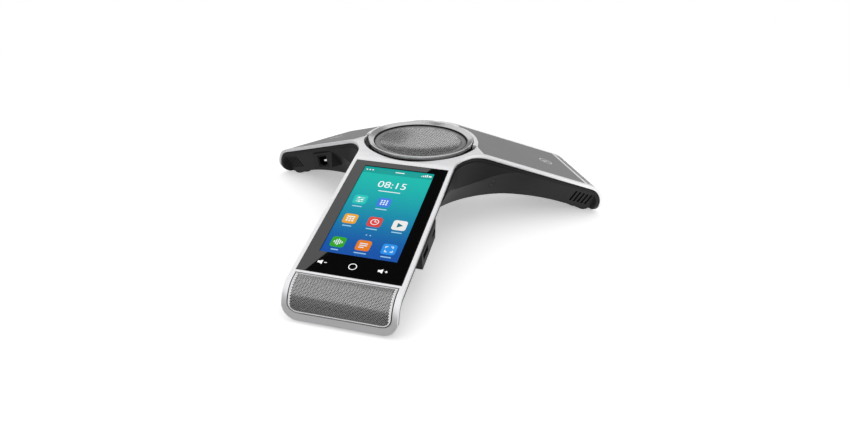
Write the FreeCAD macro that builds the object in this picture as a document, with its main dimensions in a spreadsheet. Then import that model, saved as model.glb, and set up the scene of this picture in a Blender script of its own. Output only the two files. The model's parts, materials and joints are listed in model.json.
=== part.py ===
import FreeCAD, Part
import math
import os
import Sketcher

# A three-armed conference telephone that stands on a table. Sizes are in millimetres and degrees.
# The hub's axis is the reference of every size; "along" runs outwards on an arm, "depth" is measured
# squarely below the sloping top of that arm, and heights are above the table.
DIMENSIONS = {
    # Plan and slopes of the body
    "hub_shift": 45.0,
    "arm_half": 44.5,
    "hub_fillet": 46.0,
    "front_reach": 213.3,
    "front_rise": 27.35,
    "front_slope": 15.42,
    "rear_reach": 169.5,
    "rear_rise": 25.485,
    "rear_slope": 20.305,
    "nose_radius": 18.5,
    "deck_height": 72.7,
    "crest_round": 60.0,
    # Bright frame
    "lid_thick": 2.8,
    "frame_foot": 2.3,
    "foot_corner": 12.0,
    "ledge": 3.0,
    "fit_gap": 0.15,
    # Front glass and its display
    "glass_start": 58.1,
    "glass_end": 192.5,
    "glass_half": 41.2,
    "glass_thick": 2.0,
    "display_start": 62.7,
    "display_end": 173.5,
    "display_half": 33.0,
    "display_thick": 3.0,
    # Side panels and nose grilles
    "panel_start": 48.5,
    "panel_end": 151.5,
    "panel_half": 40.2,
    "panel_thick": 2.0,
    "bar_width": 2.4,
    "grille_thick": 1.2,
    "grille_foot": 8.9,
    "grille_corner": 8.0,
    # Hub: collar with its raised rear lip, bright ring, mesh dish
    "collar_inner": 52.4,
    "collar_outer": 53.4,
    "collar_top": 71.4,
    "lip_inner": 49.1,
    "lip_outer": 52.7,
    "lip_top": 73.4,
    "ring_inner": 43.5,
    "ring_outer": 48.4,
    "ring_low_edge": 73.3,
    "ring_top": 75.0,
    "carrier_top": 69.0,
    "carrier_step": 71.55,
    "carrier_outer": 52.1,
    "dish_radius": 39.2,
    "dish_flange": 42.6,
    "dish_rim": 72.0,
    "dish_drop": 4.6,
    "dish_thick": 0.9,
    # Dark lower shell
    "shell_half": 44.0,
    "shell_gap": 0.1,
    "shell_lip": 3.5,
    "groove_high": 0.9,
    "groove_deep": 1.2,
    "shell_lean": 32.0,
    "shell_deep": 62.0,
    "shell_wall": 2.5,
    "valley_round": 90.0,
    "belly": 22.5,
    "bowl_low": 28.0,
    "bowl_step": 34.0,
    "bowl_high": 46.0,
    "bowl_top": 60.0,
    "arch_end_height": 1.5,
    "rear_arch_start": 66.0,
    "rear_arch_end": 153.0,
    "rear_arch_radius": 192.0,
    "front_arch_start": 92.0,
    "front_arch_end": 194.0,
    "front_arch_radius": 260.0,
    # Rubber feet and the screws beside them
    "foot_high": 3.0,
    "foot_half_long": 30.0,
    "foot_half_wide": 4.5,
    "foot_inset": 10.5,
    "screw_across": 24.0,
    "screw_radius": 1.5,
    "screw_head": 2.8,
    "screw_long": 12.0,
    # Vents beside each nose
    "vent_start": 24.7,
    "vent_pitch": 4.0,
    "vent_width": 1.9,
    "vent_top": 9.0,
    "vent_low": 21.5,
    "vent_lean": 2.1,
    # Loudspeaker
    "coil_radius": 9.2,
    "coil_wall": 0.5,
    "gap_room": 0.4,
    "cone_outer": 28.8,
    "flange_outer": 39.5,
    "flange_top": 57.8,
    # Boards and sockets
    "board_thick": 1.6,
    "main_board_depth": 17.6,
    "network_board_depth": 22.4,
    "jack_along": 98.6,
    "usb_along": 141.5,
    "micro_along": 118.4,
    "side_socket_along": 59.3,
    "side_socket_across": 37.4,
    "side_socket_height": 39.0,
    "side_wall_lean": 38.0,
}
VENT_COUNT = 5
BEARINGS = {"front": -90.0, "right": 30.0, "left": 150.0}

vector = FreeCAD.Vector
doc = FreeCAD.newDocument("conference_phone")
sheet = doc.addObject("Spreadsheet::Sheet", "dims")
for row, (alias, value) in enumerate(DIMENSIONS.items(), start=1):
    sheet.set(f"A{row}", alias)
    sheet.set(f"B{row}", str(value))
    sheet.setAlias(f"B{row}", alias)
doc.recompute()
pieces = []


def size(expression):
    """Number that an expression of the sheet's cells gives."""
    return float(sheet.evalExpression(str(expression)))


class Arm:
    """One arm: its bearing in plan and the expressions of its side profile."""

    def __init__(self, name):
        kind = "front" if name == "front" else "rear"
        self.name = name
        self.bearing = BEARINGS[name]
        self.kind = kind
        self.reach = f"dims.{kind}_reach"
        self.rise = f"dims.{kind}_rise"
        self.slope = f"dims.{kind}_slope * 1 deg"
        self.nose_along = f"({self.reach} - dims.nose_radius)"
        self.nose_high = f"({self.rise} - dims.nose_radius * tan(45 deg - {self.slope} / 2))"

    def at(self, along, depth):
        """Side-profile point under the sloping top."""
        high = f"{self.rise} + ({self.reach} - ({along})) * tan({self.slope})"
        return (f"{along} - ({depth}) * sin({self.slope})", f"{high} - ({depth}) * cos({self.slope})")

    def nose_start(self, depth):
        round_size = f"(dims.nose_radius - ({depth}))"
        return (f"{self.nose_along} + {round_size} * sin({self.slope})",
                f"{self.nose_high} + {round_size} * cos({self.slope})")

    def nose_end(self, depth):
        return (f"{self.reach} - ({depth})", self.nose_high)

    def cavity_above(self, depth):
        """Everything above the rounded crest and the sloping top and beyond the rounded nose."""
        round_size = f"dims.nose_radius - ({depth})"
        crest_size = f"(dims.crest_round - ({depth}))"
        crest = f"({self.reach} - (dims.deck_height - {self.rise}) / tan({self.slope}))"
        crest_start = f"({crest} - dims.crest_round * tan({self.slope} / 2))"
        crest_end = (f"{crest_start} + {crest_size} * sin({self.slope})",
                     f"dims.deck_height - dims.crest_round + {crest_size} * cos({self.slope})")
        clear_high = "dims.deck_height + 25"
        clear_far = "dims.front_reach + 30"
        return [(crest_start, f"dims.deck_height - ({depth})", crest_size, 1), crest_end,
                (*self.nose_start(depth), round_size, 1), self.nose_end(depth),
                (f"{self.reach} - ({depth})", "-4"), (clear_far, "-4"), (clear_far, clear_high),
                (crest_start, clear_high)]

    def strip(self, start, top, bottom, foot):
        """Bent strip that follows the slope, rolls over the nose and ends at a height."""
        outer = f"dims.nose_radius - ({top})"
        inner = f"dims.nose_radius - ({bottom})"
        return [self.at(start, top), (*self.nose_start(top), outer, 1), self.nose_end(top),
                (f"{self.reach} - ({top})", foot), (f"{self.reach} - ({bottom})", foot),
                (*self.nose_end(bottom), inner, -1), self.nose_start(bottom), self.at(start, bottom)]

    def slab(self, start, end, top, bottom):
        """Flat plate under the slope."""
        return [self.at(start, top), self.at(end, top), self.at(end, bottom), self.at(start, bottom)]

    def tilted(self, along, across, depth):
        """Placement on the slope: x runs outwards, y to the left of it, z squarely out of the top."""
        _, high = self.at(along, 0)
        turn = FreeCAD.Placement(vector(0, 0, 0), FreeCAD.Rotation(vector(0, 0, 1), self.bearing))
        lean = FreeCAD.Rotation(vector(0, 1, 0), size(f"{self.slope} / 1 deg"))
        foot = FreeCAD.Placement(vector(size(along), 0, size(high)), lean)
        shift = FreeCAD.Placement(vector(0, size(across), -size(depth)), FreeCAD.Rotation())
        return turn * foot * shift

    def upright(self, along, across, high):
        """Placement with a level base: x runs outwards, y to the left of it."""
        turn = FreeCAD.Placement(vector(0, 0, 0), FreeCAD.Rotation(vector(0, 0, 1), self.bearing))
        return turn * FreeCAD.Placement(vector(size(along), size(across), size(high)), FreeCAD.Rotation())


arms = [Arm(name) for name in BEARINGS]
front, right, left = arms
rear_arms = (right, left)


def new_body(name):
    return doc.addObject("PartDesign::Body", name)


def plane_of(body, role):
    return next(item for item in body.Origin.OriginFeatures if item.Role == role)


def segment(start, end, corner):
    """Line, or the arc of a given radius that bulges to the left (1) or right (-1) of the way."""
    if len(corner) == 2:
        return Part.LineSegment(start, end), (1, 2)
    radius = size(corner[2])
    bulge = corner[3]
    chord = end - start
    leftward = vector(-chord.y, chord.x, 0).normalize()
    reach = math.sqrt(radius ** 2 - (chord.Length / 2) ** 2)
    centre = (start + end) * 0.5 - leftward * (bulge * reach)
    angles = [math.atan2(point.y - centre.y, point.x - centre.x) for point in (start, end)]
    if bulge > 0:
        angles.reverse()
    if angles[1] < angles[0]:
        angles[1] += 2 * math.pi
    arc = Part.ArcOfCircle(Part.Circle(centre, vector(0, 0, 1), radius), *angles)
    return arc, ((2, 1) if bulge > 0 else (1, 2))


def draw(body, role, outlines, turn=0.0, out="0"):
    """Sketch on an origin plane, turned about the vertical and moved out along its normal."""
    sketch = body.newObject("Sketcher::SketchObject", f"{body.Name}_sketch")
    sketch.AttachmentSupport = (plane_of(body, role), [""])
    sketch.MapMode = "FlatFace"
    upright = vector(0, 0, 1) if role == "XY_Plane" else vector(0, 1, 0)
    rotation = FreeCAD.Rotation(upright, turn)
    sketch.AttachmentOffset = FreeCAD.Placement(rotation.multVec(vector(0, 0, size(out))), rotation)
    for corners in outlines:
        points = [vector(size(corner[0]), size(corner[1]), 0) for corner in corners]
        first = sketch.GeometryCount
        count = len(points)
        ends = []
        for index, corner in enumerate(corners):
            shape, order = segment(points[index], points[(index + 1) % count], corner)
            sketch.addGeometry(shape)
            ends.append(order)
        for index in range(count):
            following = (index + 1) % count
            sketch.addConstraint(Sketcher.Constraint(
                "Coincident", first + index, ends[index][1], first + following, ends[following][0]))
        for index, corner in enumerate(corners):
            for kind, expression in zip(("DistanceX", "DistanceY"), corner):
                number = sketch.addConstraint(Sketcher.Constraint(
                    kind, -1, 1, first + index, ends[index][0], size(expression)))
                sketch.setExpression(f"Constraints[{number}]", str(expression))
            if len(corner) > 2:
                number = sketch.addConstraint(Sketcher.Constraint(
                    "Radius", first + index, size(corner[2])))
                sketch.setExpression(f"Constraints[{number}]", str(corner[2]))
    return sketch


def extrude(body, kind, sketch, length, symmetric=False, back=False, direction=None):
    feature = body.newObject(f"PartDesign::{kind}", f"{body.Name}_{kind.lower()}")
    feature.Profile = sketch
    feature.setExpression("Length", str(length))
    feature.SideType = "Symmetric" if symmetric else "One side"
    feature.Reversed = back
    if direction is not None:
        feature.UseCustomVector = True
        feature.AlongSketchNormal = False
        feature.Direction = direction
    return feature


def turn_about_hub(body, corners, kind="Revolution"):
    sketch = draw(body, "XZ_Plane", [corners])
    feature = body.newObject(f"PartDesign::{kind}", f"{body.Name}_{kind.lower()}")
    feature.Profile = sketch
    feature.ReferenceAxis = (sketch, ["V_Axis"])
    feature.Angle = 360
    return feature


def around_hub(body, feature, count):
    pattern = body.newObject("PartDesign::PolarPattern", f"{body.Name}_pattern")
    pattern.Originals = [feature]
    pattern.Axis = (plane_of(body, "Z_Axis"), [""])
    pattern.Angle = 360
    pattern.Occurrences = count
    body.Tip = pattern
    return pattern


def round_edges(body, radius, wanted):
    """Fillet on the tip's edges that a test picks out."""
    doc.recompute()
    base = body.Tip
    names = [f"Edge{number}" for number, edge in enumerate(base.Shape.Edges, start=1) if wanted(edge)]
    if not names:
        raise RuntimeError(f"no edge to round on {body.Name}")
    feature = body.newObject("PartDesign::Fillet", f"{body.Name}_fillet")
    feature.Base = (base, names)
    feature.setExpression("Radius", str(radius))
    return feature


def middle_of(edge):
    return edge.valueAt((edge.FirstParameter + edge.LastParameter) / 2)


def block(name, arm, along, across, depth):
    """Box on an arm's slope between two values each of along, across and depth."""
    box = doc.addObject("Part::Box", name)
    box.setExpression("Length", f"(({along[1]}) - ({along[0]})) / cos({arm.slope})")
    box.setExpression("Width", f"({across[1]}) - ({across[0]})")
    box.setExpression("Height", f"({depth[1]}) - ({depth[0]})")
    box.Placement = arm.tilted(along[0], across[0], depth[1])
    return box


def about(centre, half):
    return (f"{centre} - {half}", f"{centre} + {half}")


def drum(name, placement, radius, high):
    cylinder = doc.addObject("Part::Cylinder", name)
    cylinder.setExpression("Radius", str(radius))
    cylinder.setExpression("Height", str(high))
    cylinder.Placement = placement
    return cylinder


def fuse(name, shapes):
    joined = doc.addObject("Part::MultiFuse", name)
    joined.Shapes = shapes
    return joined


def common(name, shapes):
    shared = doc.addObject("Part::MultiCommon", name)
    shared.Shapes = shapes
    return shared


def cut(name, base, tools):
    result = doc.addObject("Part::Cut", name)
    result.Base = base
    result.Tool = tools[0] if len(tools) == 1 else fuse(f"{name}_tools", tools)
    return result


def finish(label, shape):
    """Name a piece and stand the hub at its place in the part's frame."""
    shape.Label = label
    shift = FreeCAD.Placement(vector(0, size("dims.hub_shift"), 0), FreeCAD.Rotation())
    shape.Placement = shift * shape.Placement
    pieces.append(shape)
    return shape


def three_arms(name, half, fillet, base, top):
    """Solid star of three arms with rounded inner corners."""
    body = new_body(name)
    far = "dims.front_reach + 8"
    plan = [("0", f"-({half})"), (far, f"-({half})"), (far, half), ("0", half)]
    outline = draw(body, "XY_Plane", [plan], BEARINGS["front"], base)
    arm_pad = extrude(body, "Pad", outline, f"({top}) - ({base})")
    around_hub(body, arm_pad, 3)
    corner = size(half) / math.sin(math.radians(60))

    def inner_corner(edge):
        point = middle_of(edge)
        return abs(math.hypot(point.x, point.y) - corner) < 0.05 and edge.BoundBox.ZLength > 10

    round_edges(body, fillet, inner_corner)
    return body


def roof(body, depth):
    """Trim a star to the three sloping tops and their rounded noses."""
    for arm in arms:
        outline = draw(body, "XZ_Plane", [arm.cavity_above(depth)], arm.bearing)
        extrude(body, "Pocket", outline, "340", symmetric=True)


def star_under_roof(name, half, fillet, base, depth):
    body = three_arms(name, half, fillet, base, f"dims.deck_height - ({depth})")
    roof(body, depth)
    return body


# Bright frame: one bent sheet over all three arms, with seats for the glass, panels and grilles
frame_form = star_under_roof("frame_form", "dims.arm_half", "dims.hub_fillet", "dims.frame_foot", "0")


def runs_along_foot(edge):
    low = size("dims.frame_foot")
    point = middle_of(edge)
    flat = edge.BoundBox.ZLength < 0.01 and abs(point.z - low) < 0.01
    return flat and edge.Length > 100


round_edges(frame_form, "dims.foot_corner", runs_along_foot)
seat_depth = "dims.glass_thick + 0.05"
below_lid = "dims.lid_thick + 3"
glass_seat = front.slab("dims.glass_start - dims.fit_gap", "dims.glass_end + dims.fit_gap", "-3", seat_depth)
extrude(frame_form, "Pocket", draw(frame_form, "XZ_Plane", [glass_seat], front.bearing),
        "2 * (dims.glass_half + dims.fit_gap)", symmetric=True)
glass_window = front.slab("dims.glass_start + dims.ledge", "dims.glass_end - dims.ledge", "1", below_lid)
extrude(frame_form, "Pocket", draw(frame_form, "XZ_Plane", [glass_window], front.bearing),
        "2 * (dims.glass_half - dims.ledge)", symmetric=True)
for arm in rear_arms:
    panel_seat = arm.slab("dims.panel_start", "dims.panel_end + dims.fit_gap", "-3", seat_depth)
    extrude(frame_form, "Pocket", draw(frame_form, "XZ_Plane", [panel_seat], arm.bearing),
            "2 * (dims.panel_half + dims.fit_gap)", symmetric=True)
    panel_window = arm.slab("dims.panel_start + 10", "dims.panel_end - dims.ledge", "1", below_lid)
    extrude(frame_form, "Pocket", draw(frame_form, "XZ_Plane", [panel_window], arm.bearing),
            "2 * (dims.panel_half - dims.ledge)", symmetric=True)
for arm in arms:
    inner_end = "dims.glass_end" if arm is front else "dims.panel_end"
    arm.grille_start = f"{inner_end} + dims.bar_width"
    nose_seat = arm.strip(f"{arm.grille_start} - dims.fit_gap", "-3", "dims.grille_thick + 0.05",
                          "dims.grille_foot - dims.fit_gap")
    extrude(frame_form, "Pocket", draw(frame_form, "XZ_Plane", [nose_seat], arm.bearing),
            "2 * (dims.panel_half + dims.fit_gap)", symmetric=True)


def seat_corner(edge):
    """Short edge at a lower corner of a nose grille's seat."""
    point = middle_of(edge)
    low = abs(point.z - size("dims.grille_foot - dims.fit_gap")) < 0.01
    return low and abs(edge.Length - size("dims.grille_thick + 0.05")) < 0.02


round_edges(frame_form, "dims.grille_corner", seat_corner)
for arm in arms:
    nose_window = arm.strip(f"{arm.grille_start} + dims.ledge", "0.5", below_lid, "dims.grille_foot + 6")
    extrude(frame_form, "Pocket", draw(frame_form, "XZ_Plane", [nose_window], arm.bearing),
            "2 * (dims.panel_half - dims.ledge - 3)", symmetric=True)
hub_hole = [("0", "40"), ("dims.collar_inner", "40"), ("dims.collar_inner", "90"), ("0", "90")]
turn_about_hub(frame_form, hub_hole, "Groove")
frame_core = star_under_roof("frame_core", "dims.arm_half + 1", "dims.hub_fillet - 1", "-3", "dims.lid_thick")
collar = new_body("collar")
turn_about_hub(collar, [
    ("dims.collar_inner", "dims.collar_top"), ("dims.collar_outer", "dims.collar_top"),
    ("dims.collar_outer", "dims.carrier_top - 3.5"), ("46.5", "dims.carrier_top - 3.5"),
    ("46.5", "dims.carrier_top - 1.8"), ("dims.collar_inner", "dims.carrier_top - 1.8")])
lip_ring = new_body("lip_ring")
turn_about_hub(lip_ring, [
    ("dims.lip_inner", "dims.carrier_top + 0.1"), ("dims.lip_outer", "dims.carrier_top + 0.1"),
    ("dims.lip_outer", "dims.lip_top - 0.4"), ("dims.lip_outer - 0.4", "dims.lip_top"),
    ("dims.lip_inner + 0.3", "dims.lip_top"), ("dims.lip_inner", "dims.lip_top - 0.3")])
rear_half = doc.addObject("Part::Box", "rear_half")
rear_half.setExpression("Length", "2 * dims.collar_outer")
rear_half.setExpression("Width", "dims.collar_outer")
rear_half.setExpression("Height", "dims.ring_top")
rear_half.Placement.Base = vector(-size("dims.collar_outer"), 0, 20)
rear_lip = common("rear_lip", [lip_ring, rear_half])
pillars = []
for arm in arms:
    arm.screw_along = "dims.glass_end - 0.5" if arm is front else "dims.panel_end - 1.5"
    for side in (-1, 1):
        across = f"{side} * dims.screw_across"
        _, high = arm.at(arm.screw_along, "0")
        column = drum(f"column_{arm.name}", arm.upright(arm.screw_along, across, "10"), "3.6", f"{high} - 10")
        above = block(f"above_column_{arm.name}", arm, about(arm.screw_along, "8"), about(across, "5"),
                      ("-8", "dims.glass_thick + 0.1"))
        pillars.append(cut(f"frame_pillar_{arm.name}", column, [above]))
frame_sheet = cut("frame_sheet", frame_form, [frame_core])
screw_bores = []
for arm in arms:
    for side in (-1, 1):
        across = f"{side} * dims.screw_across"
        screw_bores.append(drum(f"frame_bore_{arm.name}", arm.upright(arm.screw_along, across, "5"),
                                "dims.screw_radius", "dims.screw_long"))
top_frame = cut("frame_whole", fuse("frame_joined", [frame_sheet, collar, rear_lip] + pillars), screw_bores)
finish("top_frame", top_frame)


# Front glass, the display under it and the tray that holds the display
def plate(label, arm, start, end, top, bottom, half):
    body = new_body(label)
    outline = draw(body, "XZ_Plane", [arm.slab(start, end, top, bottom)], arm.bearing)
    extrude(body, "Pad", outline, f"2 * ({half})", symmetric=True)
    return body


touch_glass = plate("touch_glass", front, "dims.glass_start", "dims.glass_end", "0", "dims.glass_thick",
                    "dims.glass_half")


def stands_at_corner(edge):
    """Edge through the plate's thickness."""
    return abs(edge.Length - size("dims.glass_thick")) < 0.01


round_edges(touch_glass, "1.2", stands_at_corner)
finish("touch_glass", touch_glass)
display_low = "dims.glass_thick + dims.display_thick"
finish("display_panel", plate("display_panel", front, "dims.display_start", "dims.display_end",
                              "dims.glass_thick", display_low, "dims.display_half"))
tray_low = f"{display_low} + 1"
tray_along = ("dims.display_start - 1", "dims.display_end + 12")
tray_floor = block("tray_floor", front, tray_along, ("-39", "39"), (display_low, tray_low))
tray_rails = []
for across in (("-40.2", "-37.6"), ("37.6", "40.2")):
    tray_rails.append(block("tray_rail", front, tray_along, across, ("dims.lid_thick + 0.02", tray_low)))
tray_slots = []
for slot_along in (("72", "94"), ("142", "164")):
    slot_depth = (f"{display_low} - 1", f"{tray_low} + 1")
    tray_slots.append(block("tray_slot", front, slot_along, ("-14", "14"), slot_depth))
finish("display_tray", cut("tray_cut", fuse("tray_joined", [tray_floor] + tray_rails), tray_slots))

# Side panels, nose grilles and the touch sensors under the panels
for arm in rear_arms:
    panel = plate(f"{arm.name}_arm_panel", arm, "dims.panel_start", "dims.panel_end", "0", "dims.panel_thick",
                  "dims.panel_half")
    hub_edge = "dims.collar_outer + 0.25"
    turn_about_hub(panel, [("0", "40"), (hub_edge, "40"), (hub_edge, "90"), ("0", "90")], "Groove")
    finish(f"{arm.name}_arm_panel", panel)
    sensor = plate(f"{arm.name}_mute_sensor", arm, "118", "140", "dims.panel_thick",
                   "dims.panel_thick + 1", "11")
    finish(f"{arm.name}_mute_sensor", sensor)


def grille_corner(edge):
    """Short edge at a lower corner of a nose grille."""
    low = abs(middle_of(edge).z - size("dims.grille_foot")) < 0.01
    return low and abs(edge.Length - size("dims.grille_thick")) < 0.02


for arm in arms:
    grille = new_body(f"{arm.name}_nose_grille")
    bent = arm.strip(arm.grille_start, "0", "dims.grille_thick", "dims.grille_foot")
    side_view = draw(grille, "XZ_Plane", [bent], arm.bearing)
    extrude(grille, "Pad", side_view, "2 * dims.panel_half", symmetric=True)
    round_edges(grille, "dims.grille_corner", grille_corner)
    finish(f"{arm.name}_nose_grille", grille)


# Hub: bright ring, mesh dish, its dark step and the carrier that holds them and the loudspeaker
def turned(label, corners):
    body = new_body(label)
    turn_about_hub(body, corners)
    return finish(label, body)


ring_foot = "dims.carrier_step + 0.05"
turned("speaker_ring", [
    ("dims.ring_inner", ring_foot), ("dims.ring_inner", "dims.ring_low_edge - 0.3"),
    ("dims.ring_inner + 0.4", "dims.ring_low_edge"), ("dims.ring_outer - 0.5", "dims.ring_top"),
    ("dims.ring_outer", "dims.ring_top - 0.5"), ("dims.ring_outer", ring_foot)])
turned("grille_step", [
    ("dims.dish_flange + 0.1", "71.05"), ("dims.ring_inner - 0.1", "71.05"),
    ("dims.ring_inner - 0.1", "dims.ring_low_edge - 0.5"),
    ("dims.dish_flange + 0.1", "dims.ring_low_edge - 0.5")])
dish_outer = "(dims.dish_radius ^ 2 + dims.dish_drop ^ 2) / (2 * dims.dish_drop)"
turned("speaker_grille", [
    ("0", "dims.dish_rim - dims.dish_drop", dish_outer, -1), ("dims.dish_radius", "dims.dish_rim"),
    ("dims.dish_flange", "dims.dish_rim"), ("dims.dish_flange", "dims.dish_rim - dims.dish_thick"),
    ("dims.dish_radius", "dims.dish_rim - dims.dish_thick", dish_outer, 1),
    ("0", "dims.dish_rim - dims.dish_drop - dims.dish_thick")])
turned("speaker_carrier", [
    ("40.5", "71"), ("dims.ring_inner", "71"), ("dims.ring_inner", "dims.carrier_step"),
    ("dims.ring_outer - 0.4", "dims.carrier_step"), ("dims.ring_outer - 0.4", "dims.carrier_top"),
    ("dims.carrier_outer", "dims.carrier_top"), ("dims.carrier_outer", "dims.carrier_top - 1.7"),
    ("42.6", "dims.carrier_top - 1.7"),
    ("42.6", "dims.flange_top + 0.7"), ("33.5", "dims.flange_top + 0.7"), ("33.5", "dims.flange_top + 2.7"),
    ("40.5", "dims.flange_top + 2.7")])

# Loudspeaker: everything turned about the hub's axis
turned("speaker_gasket", [
    ("34", "dims.flange_top + 0.05"), ("39", "dims.flange_top + 0.05"), ("39", "dims.flange_top + 0.65"),
    ("34", "dims.flange_top + 0.65")])
turned("speaker_basket", [
    ("33.5", "dims.flange_top"), ("dims.flange_outer", "dims.flange_top"),
    ("dims.flange_outer", "dims.flange_top - 1.5"), ("35.6", "dims.flange_top - 1.5"),
    ("23", "dims.flange_top - 16.3"), ("10.6", "dims.flange_top - 16.3"), ("10.6", "dims.flange_top - 14.8"),
    ("22", "dims.flange_top - 14.8"), ("33.5", "dims.flange_top - 1.9")])
turned("speaker_front_plate", [
    ("dims.coil_radius + dims.coil_wall / 2 + dims.gap_room", "37.5"), ("20", "37.5"), ("20", "41.45"),
    ("dims.coil_radius + dims.coil_wall / 2 + dims.gap_room", "41.45")])
turned("speaker_magnet", [("11.5", "29.55"), ("22", "29.55"), ("22", "37.45"), ("11.5", "37.45")])
pole = "dims.coil_radius - dims.coil_wall / 2 - dims.gap_room"
turned("speaker_yoke", [
    ("0", "26"), ("20.5", "26"), ("20.5", "29.5"), (pole, "29.5"), (pole, "41.4"), ("0", "41.4")])
turned("voice_coil", [
    ("dims.coil_radius - dims.coil_wall / 2", "34.5"), ("dims.coil_radius + dims.coil_wall / 2", "34.5"),
    ("dims.coil_radius + dims.coil_wall / 2", "47.2"), ("dims.coil_radius - dims.coil_wall / 2", "47.2")])
turned("speaker_cone", [
    ("dims.coil_radius + dims.coil_wall / 2", "45.6"), ("20", "50.5"), ("dims.cone_outer", "55.3"),
    ("dims.cone_outer", "56.2"), ("20", "51.4"), ("dims.coil_radius + dims.coil_wall / 2", "46.5")])
turned("dust_cap", [
    ("0", "51.2"), ("4.5", "50.7"), ("8.2", "49.5"), ("10.8", "47.6"), ("10.1", "47.6"), ("7.9", "49.1"),
    ("4.3", "50.2"), ("0", "50.7")])
turned("speaker_surround", [
    ("29", "56.2"), ("29.7", "57.3"), ("31.2", "57.9"), ("32.7", "57.3"), ("33.4", "56.2"), ("32.8", "56.2"),
    ("32.3", "56.9"), ("31.2", "57.3"), ("30.1", "56.9"), ("29.6", "56.2")])
turned("speaker_spider", [
    ("9.7", "43.3"), ("12", "44.1"), ("14.4", "43.3"), ("16.8", "44.1"), ("19", "43.1"), ("21.4", "43.1"),
    ("21.4", "43.6"), ("19", "43.6"), ("16.8", "44.6"), ("14.4", "43.8"), ("12", "44.6"), ("9.7", "43.8")])
speaker_screws = []
for bearing in (45, 135, 225, 315):
    turn = FreeCAD.Placement(vector(0, 0, 0), FreeCAD.Rotation(vector(0, 0, 1), bearing))
    place = FreeCAD.Placement(vector(37.2, 0, size("dims.flange_top - 3.2")), FreeCAD.Rotation())
    speaker_screws.append(drum("speaker_screw", turn * place, "1.6", "1.6"))
finish("speaker_screws", fuse("speaker_screw_group", speaker_screws))


# Dark lower shell: a lip under the frame, walls that lean inwards, and an arched underside
lip_high = "dims.lid_thick + dims.shell_gap"
lip_low = "dims.lid_thick + dims.shell_gap + dims.shell_lip"
lip_form = star_under_roof("lip_form", "dims.shell_half", "dims.hub_fillet + 0.5", "dims.arch_end_height",
                           lip_high)


def rounds_lip_foot(edge):
    """Long lower edge of the lip's form."""
    point = middle_of(edge)
    level = edge.BoundBox.ZLength < 0.01 and abs(point.z - size("dims.arch_end_height")) < 0.01
    return level and edge.Length > 90


round_edges(lip_form, "dims.foot_corner - 0.5", rounds_lip_foot)
lip_core = star_under_roof("lip_core", "dims.shell_half + 1", "dims.hub_fillet - 0.5", "-3", lip_low)
groove_top = star_under_roof("groove_top", "dims.shell_half + 1", "dims.hub_fillet - 0.5", "-3",
                             f"{lip_high} - 0.5")
groove_floor = star_under_roof("groove_floor", "dims.shell_half + 2", "dims.hub_fillet - 1.5", "-4",
                               f"{lip_high} + dims.groove_high")
groove_back = star_under_roof("groove_back", "dims.shell_half - dims.groove_deep",
                              "dims.hub_fillet + 0.5 + dims.groove_deep", "-5", f"{lip_high} - 1")
shadow_groove = cut("shadow_groove", groove_top, [groove_floor, groove_back])
lip_band = cut("lip_band", lip_form, [lip_core, shadow_groove])


def leaning_arms(name, inset, top_room, end_room):
    """Three sloping troughs whose sides lean inwards, joined at the hub."""
    body = new_body(name)
    for arm in arms:
        half = f"(dims.shell_half - {inset})"
        keel = f"({half} - dims.shell_deep * tan(dims.shell_lean * 1 deg))"
        high = f"({arm.rise} + {arm.reach} * tan({arm.slope}) - ({lip_low}) / cos({arm.slope}))"
        low = f"({high} - dims.shell_deep + {inset})"
        outline = [(f"-{half}", high), (f"-{keel}", low), (keel, low), (half, high)]
        if top_room != "0":
            outline = [(f"-{half}", f"{high} + {top_room}")] + outline + [(half, f"{high} + {top_room}")]
        slope = math.radians(size(f"{arm.slope} / 1 deg"))
        bearing = math.radians(arm.bearing)
        level_way = vector(math.cos(bearing), math.sin(bearing), 0)
        downhill = level_way * math.cos(slope) - vector(0, 0, math.sin(slope))
        section = draw(body, "XZ_Plane", [outline], arm.bearing + 90)
        extrude(body, "Pad", section, f"({arm.reach} - ({end_room})) / cos({arm.slope})", direction=downhill)
    return body


def under_arch(name, raised):
    """Space under the arched arms."""
    body = new_body(name)
    low = f"dims.arch_end_height + {raised}"
    high = f"dims.belly + {raised}"
    for arm in arms:
        start = f"dims.{arm.kind}_arch_start"
        end = f"dims.{arm.kind}_arch_end"
        radius = f"dims.{arm.kind}_arch_radius - {raised}"
        beyond = f"{arm.reach} + 20"
        outline = [("28", "-60"), (beyond, "-60"), (beyond, low), (end, low, radius, -1), (start, high),
                   ("28", high)]
        extrude(body, "Pad", draw(body, "XZ_Plane", [outline], arm.bearing), "120", symmetric=True)
    turn_about_hub(body, [("0", "-60"), ("60", "-60"), ("60", high), ("0", high)])
    return body


def bowl(body, inset, floor):
    """Round well under the hub for the loudspeaker."""
    low = f"dims.bowl_low - {inset}"
    turn_about_hub(body, [("0", floor), (low, floor), (low, "dims.bowl_step"),
                          (f"dims.bowl_high - {inset}", "dims.bowl_top"), ("0", "dims.bowl_top")])


def is_valley(edge):
    """Straight inner edge where the leaning sides of two arms meet."""
    point = middle_of(edge)
    bearing = math.degrees(math.atan2(point.y, point.x))
    near = min(abs((bearing - inner + 180) % 360 - 180) for inner in (-30, 90, 210)) < 6
    return near and edge.BoundBox.ZLength > 20


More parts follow.
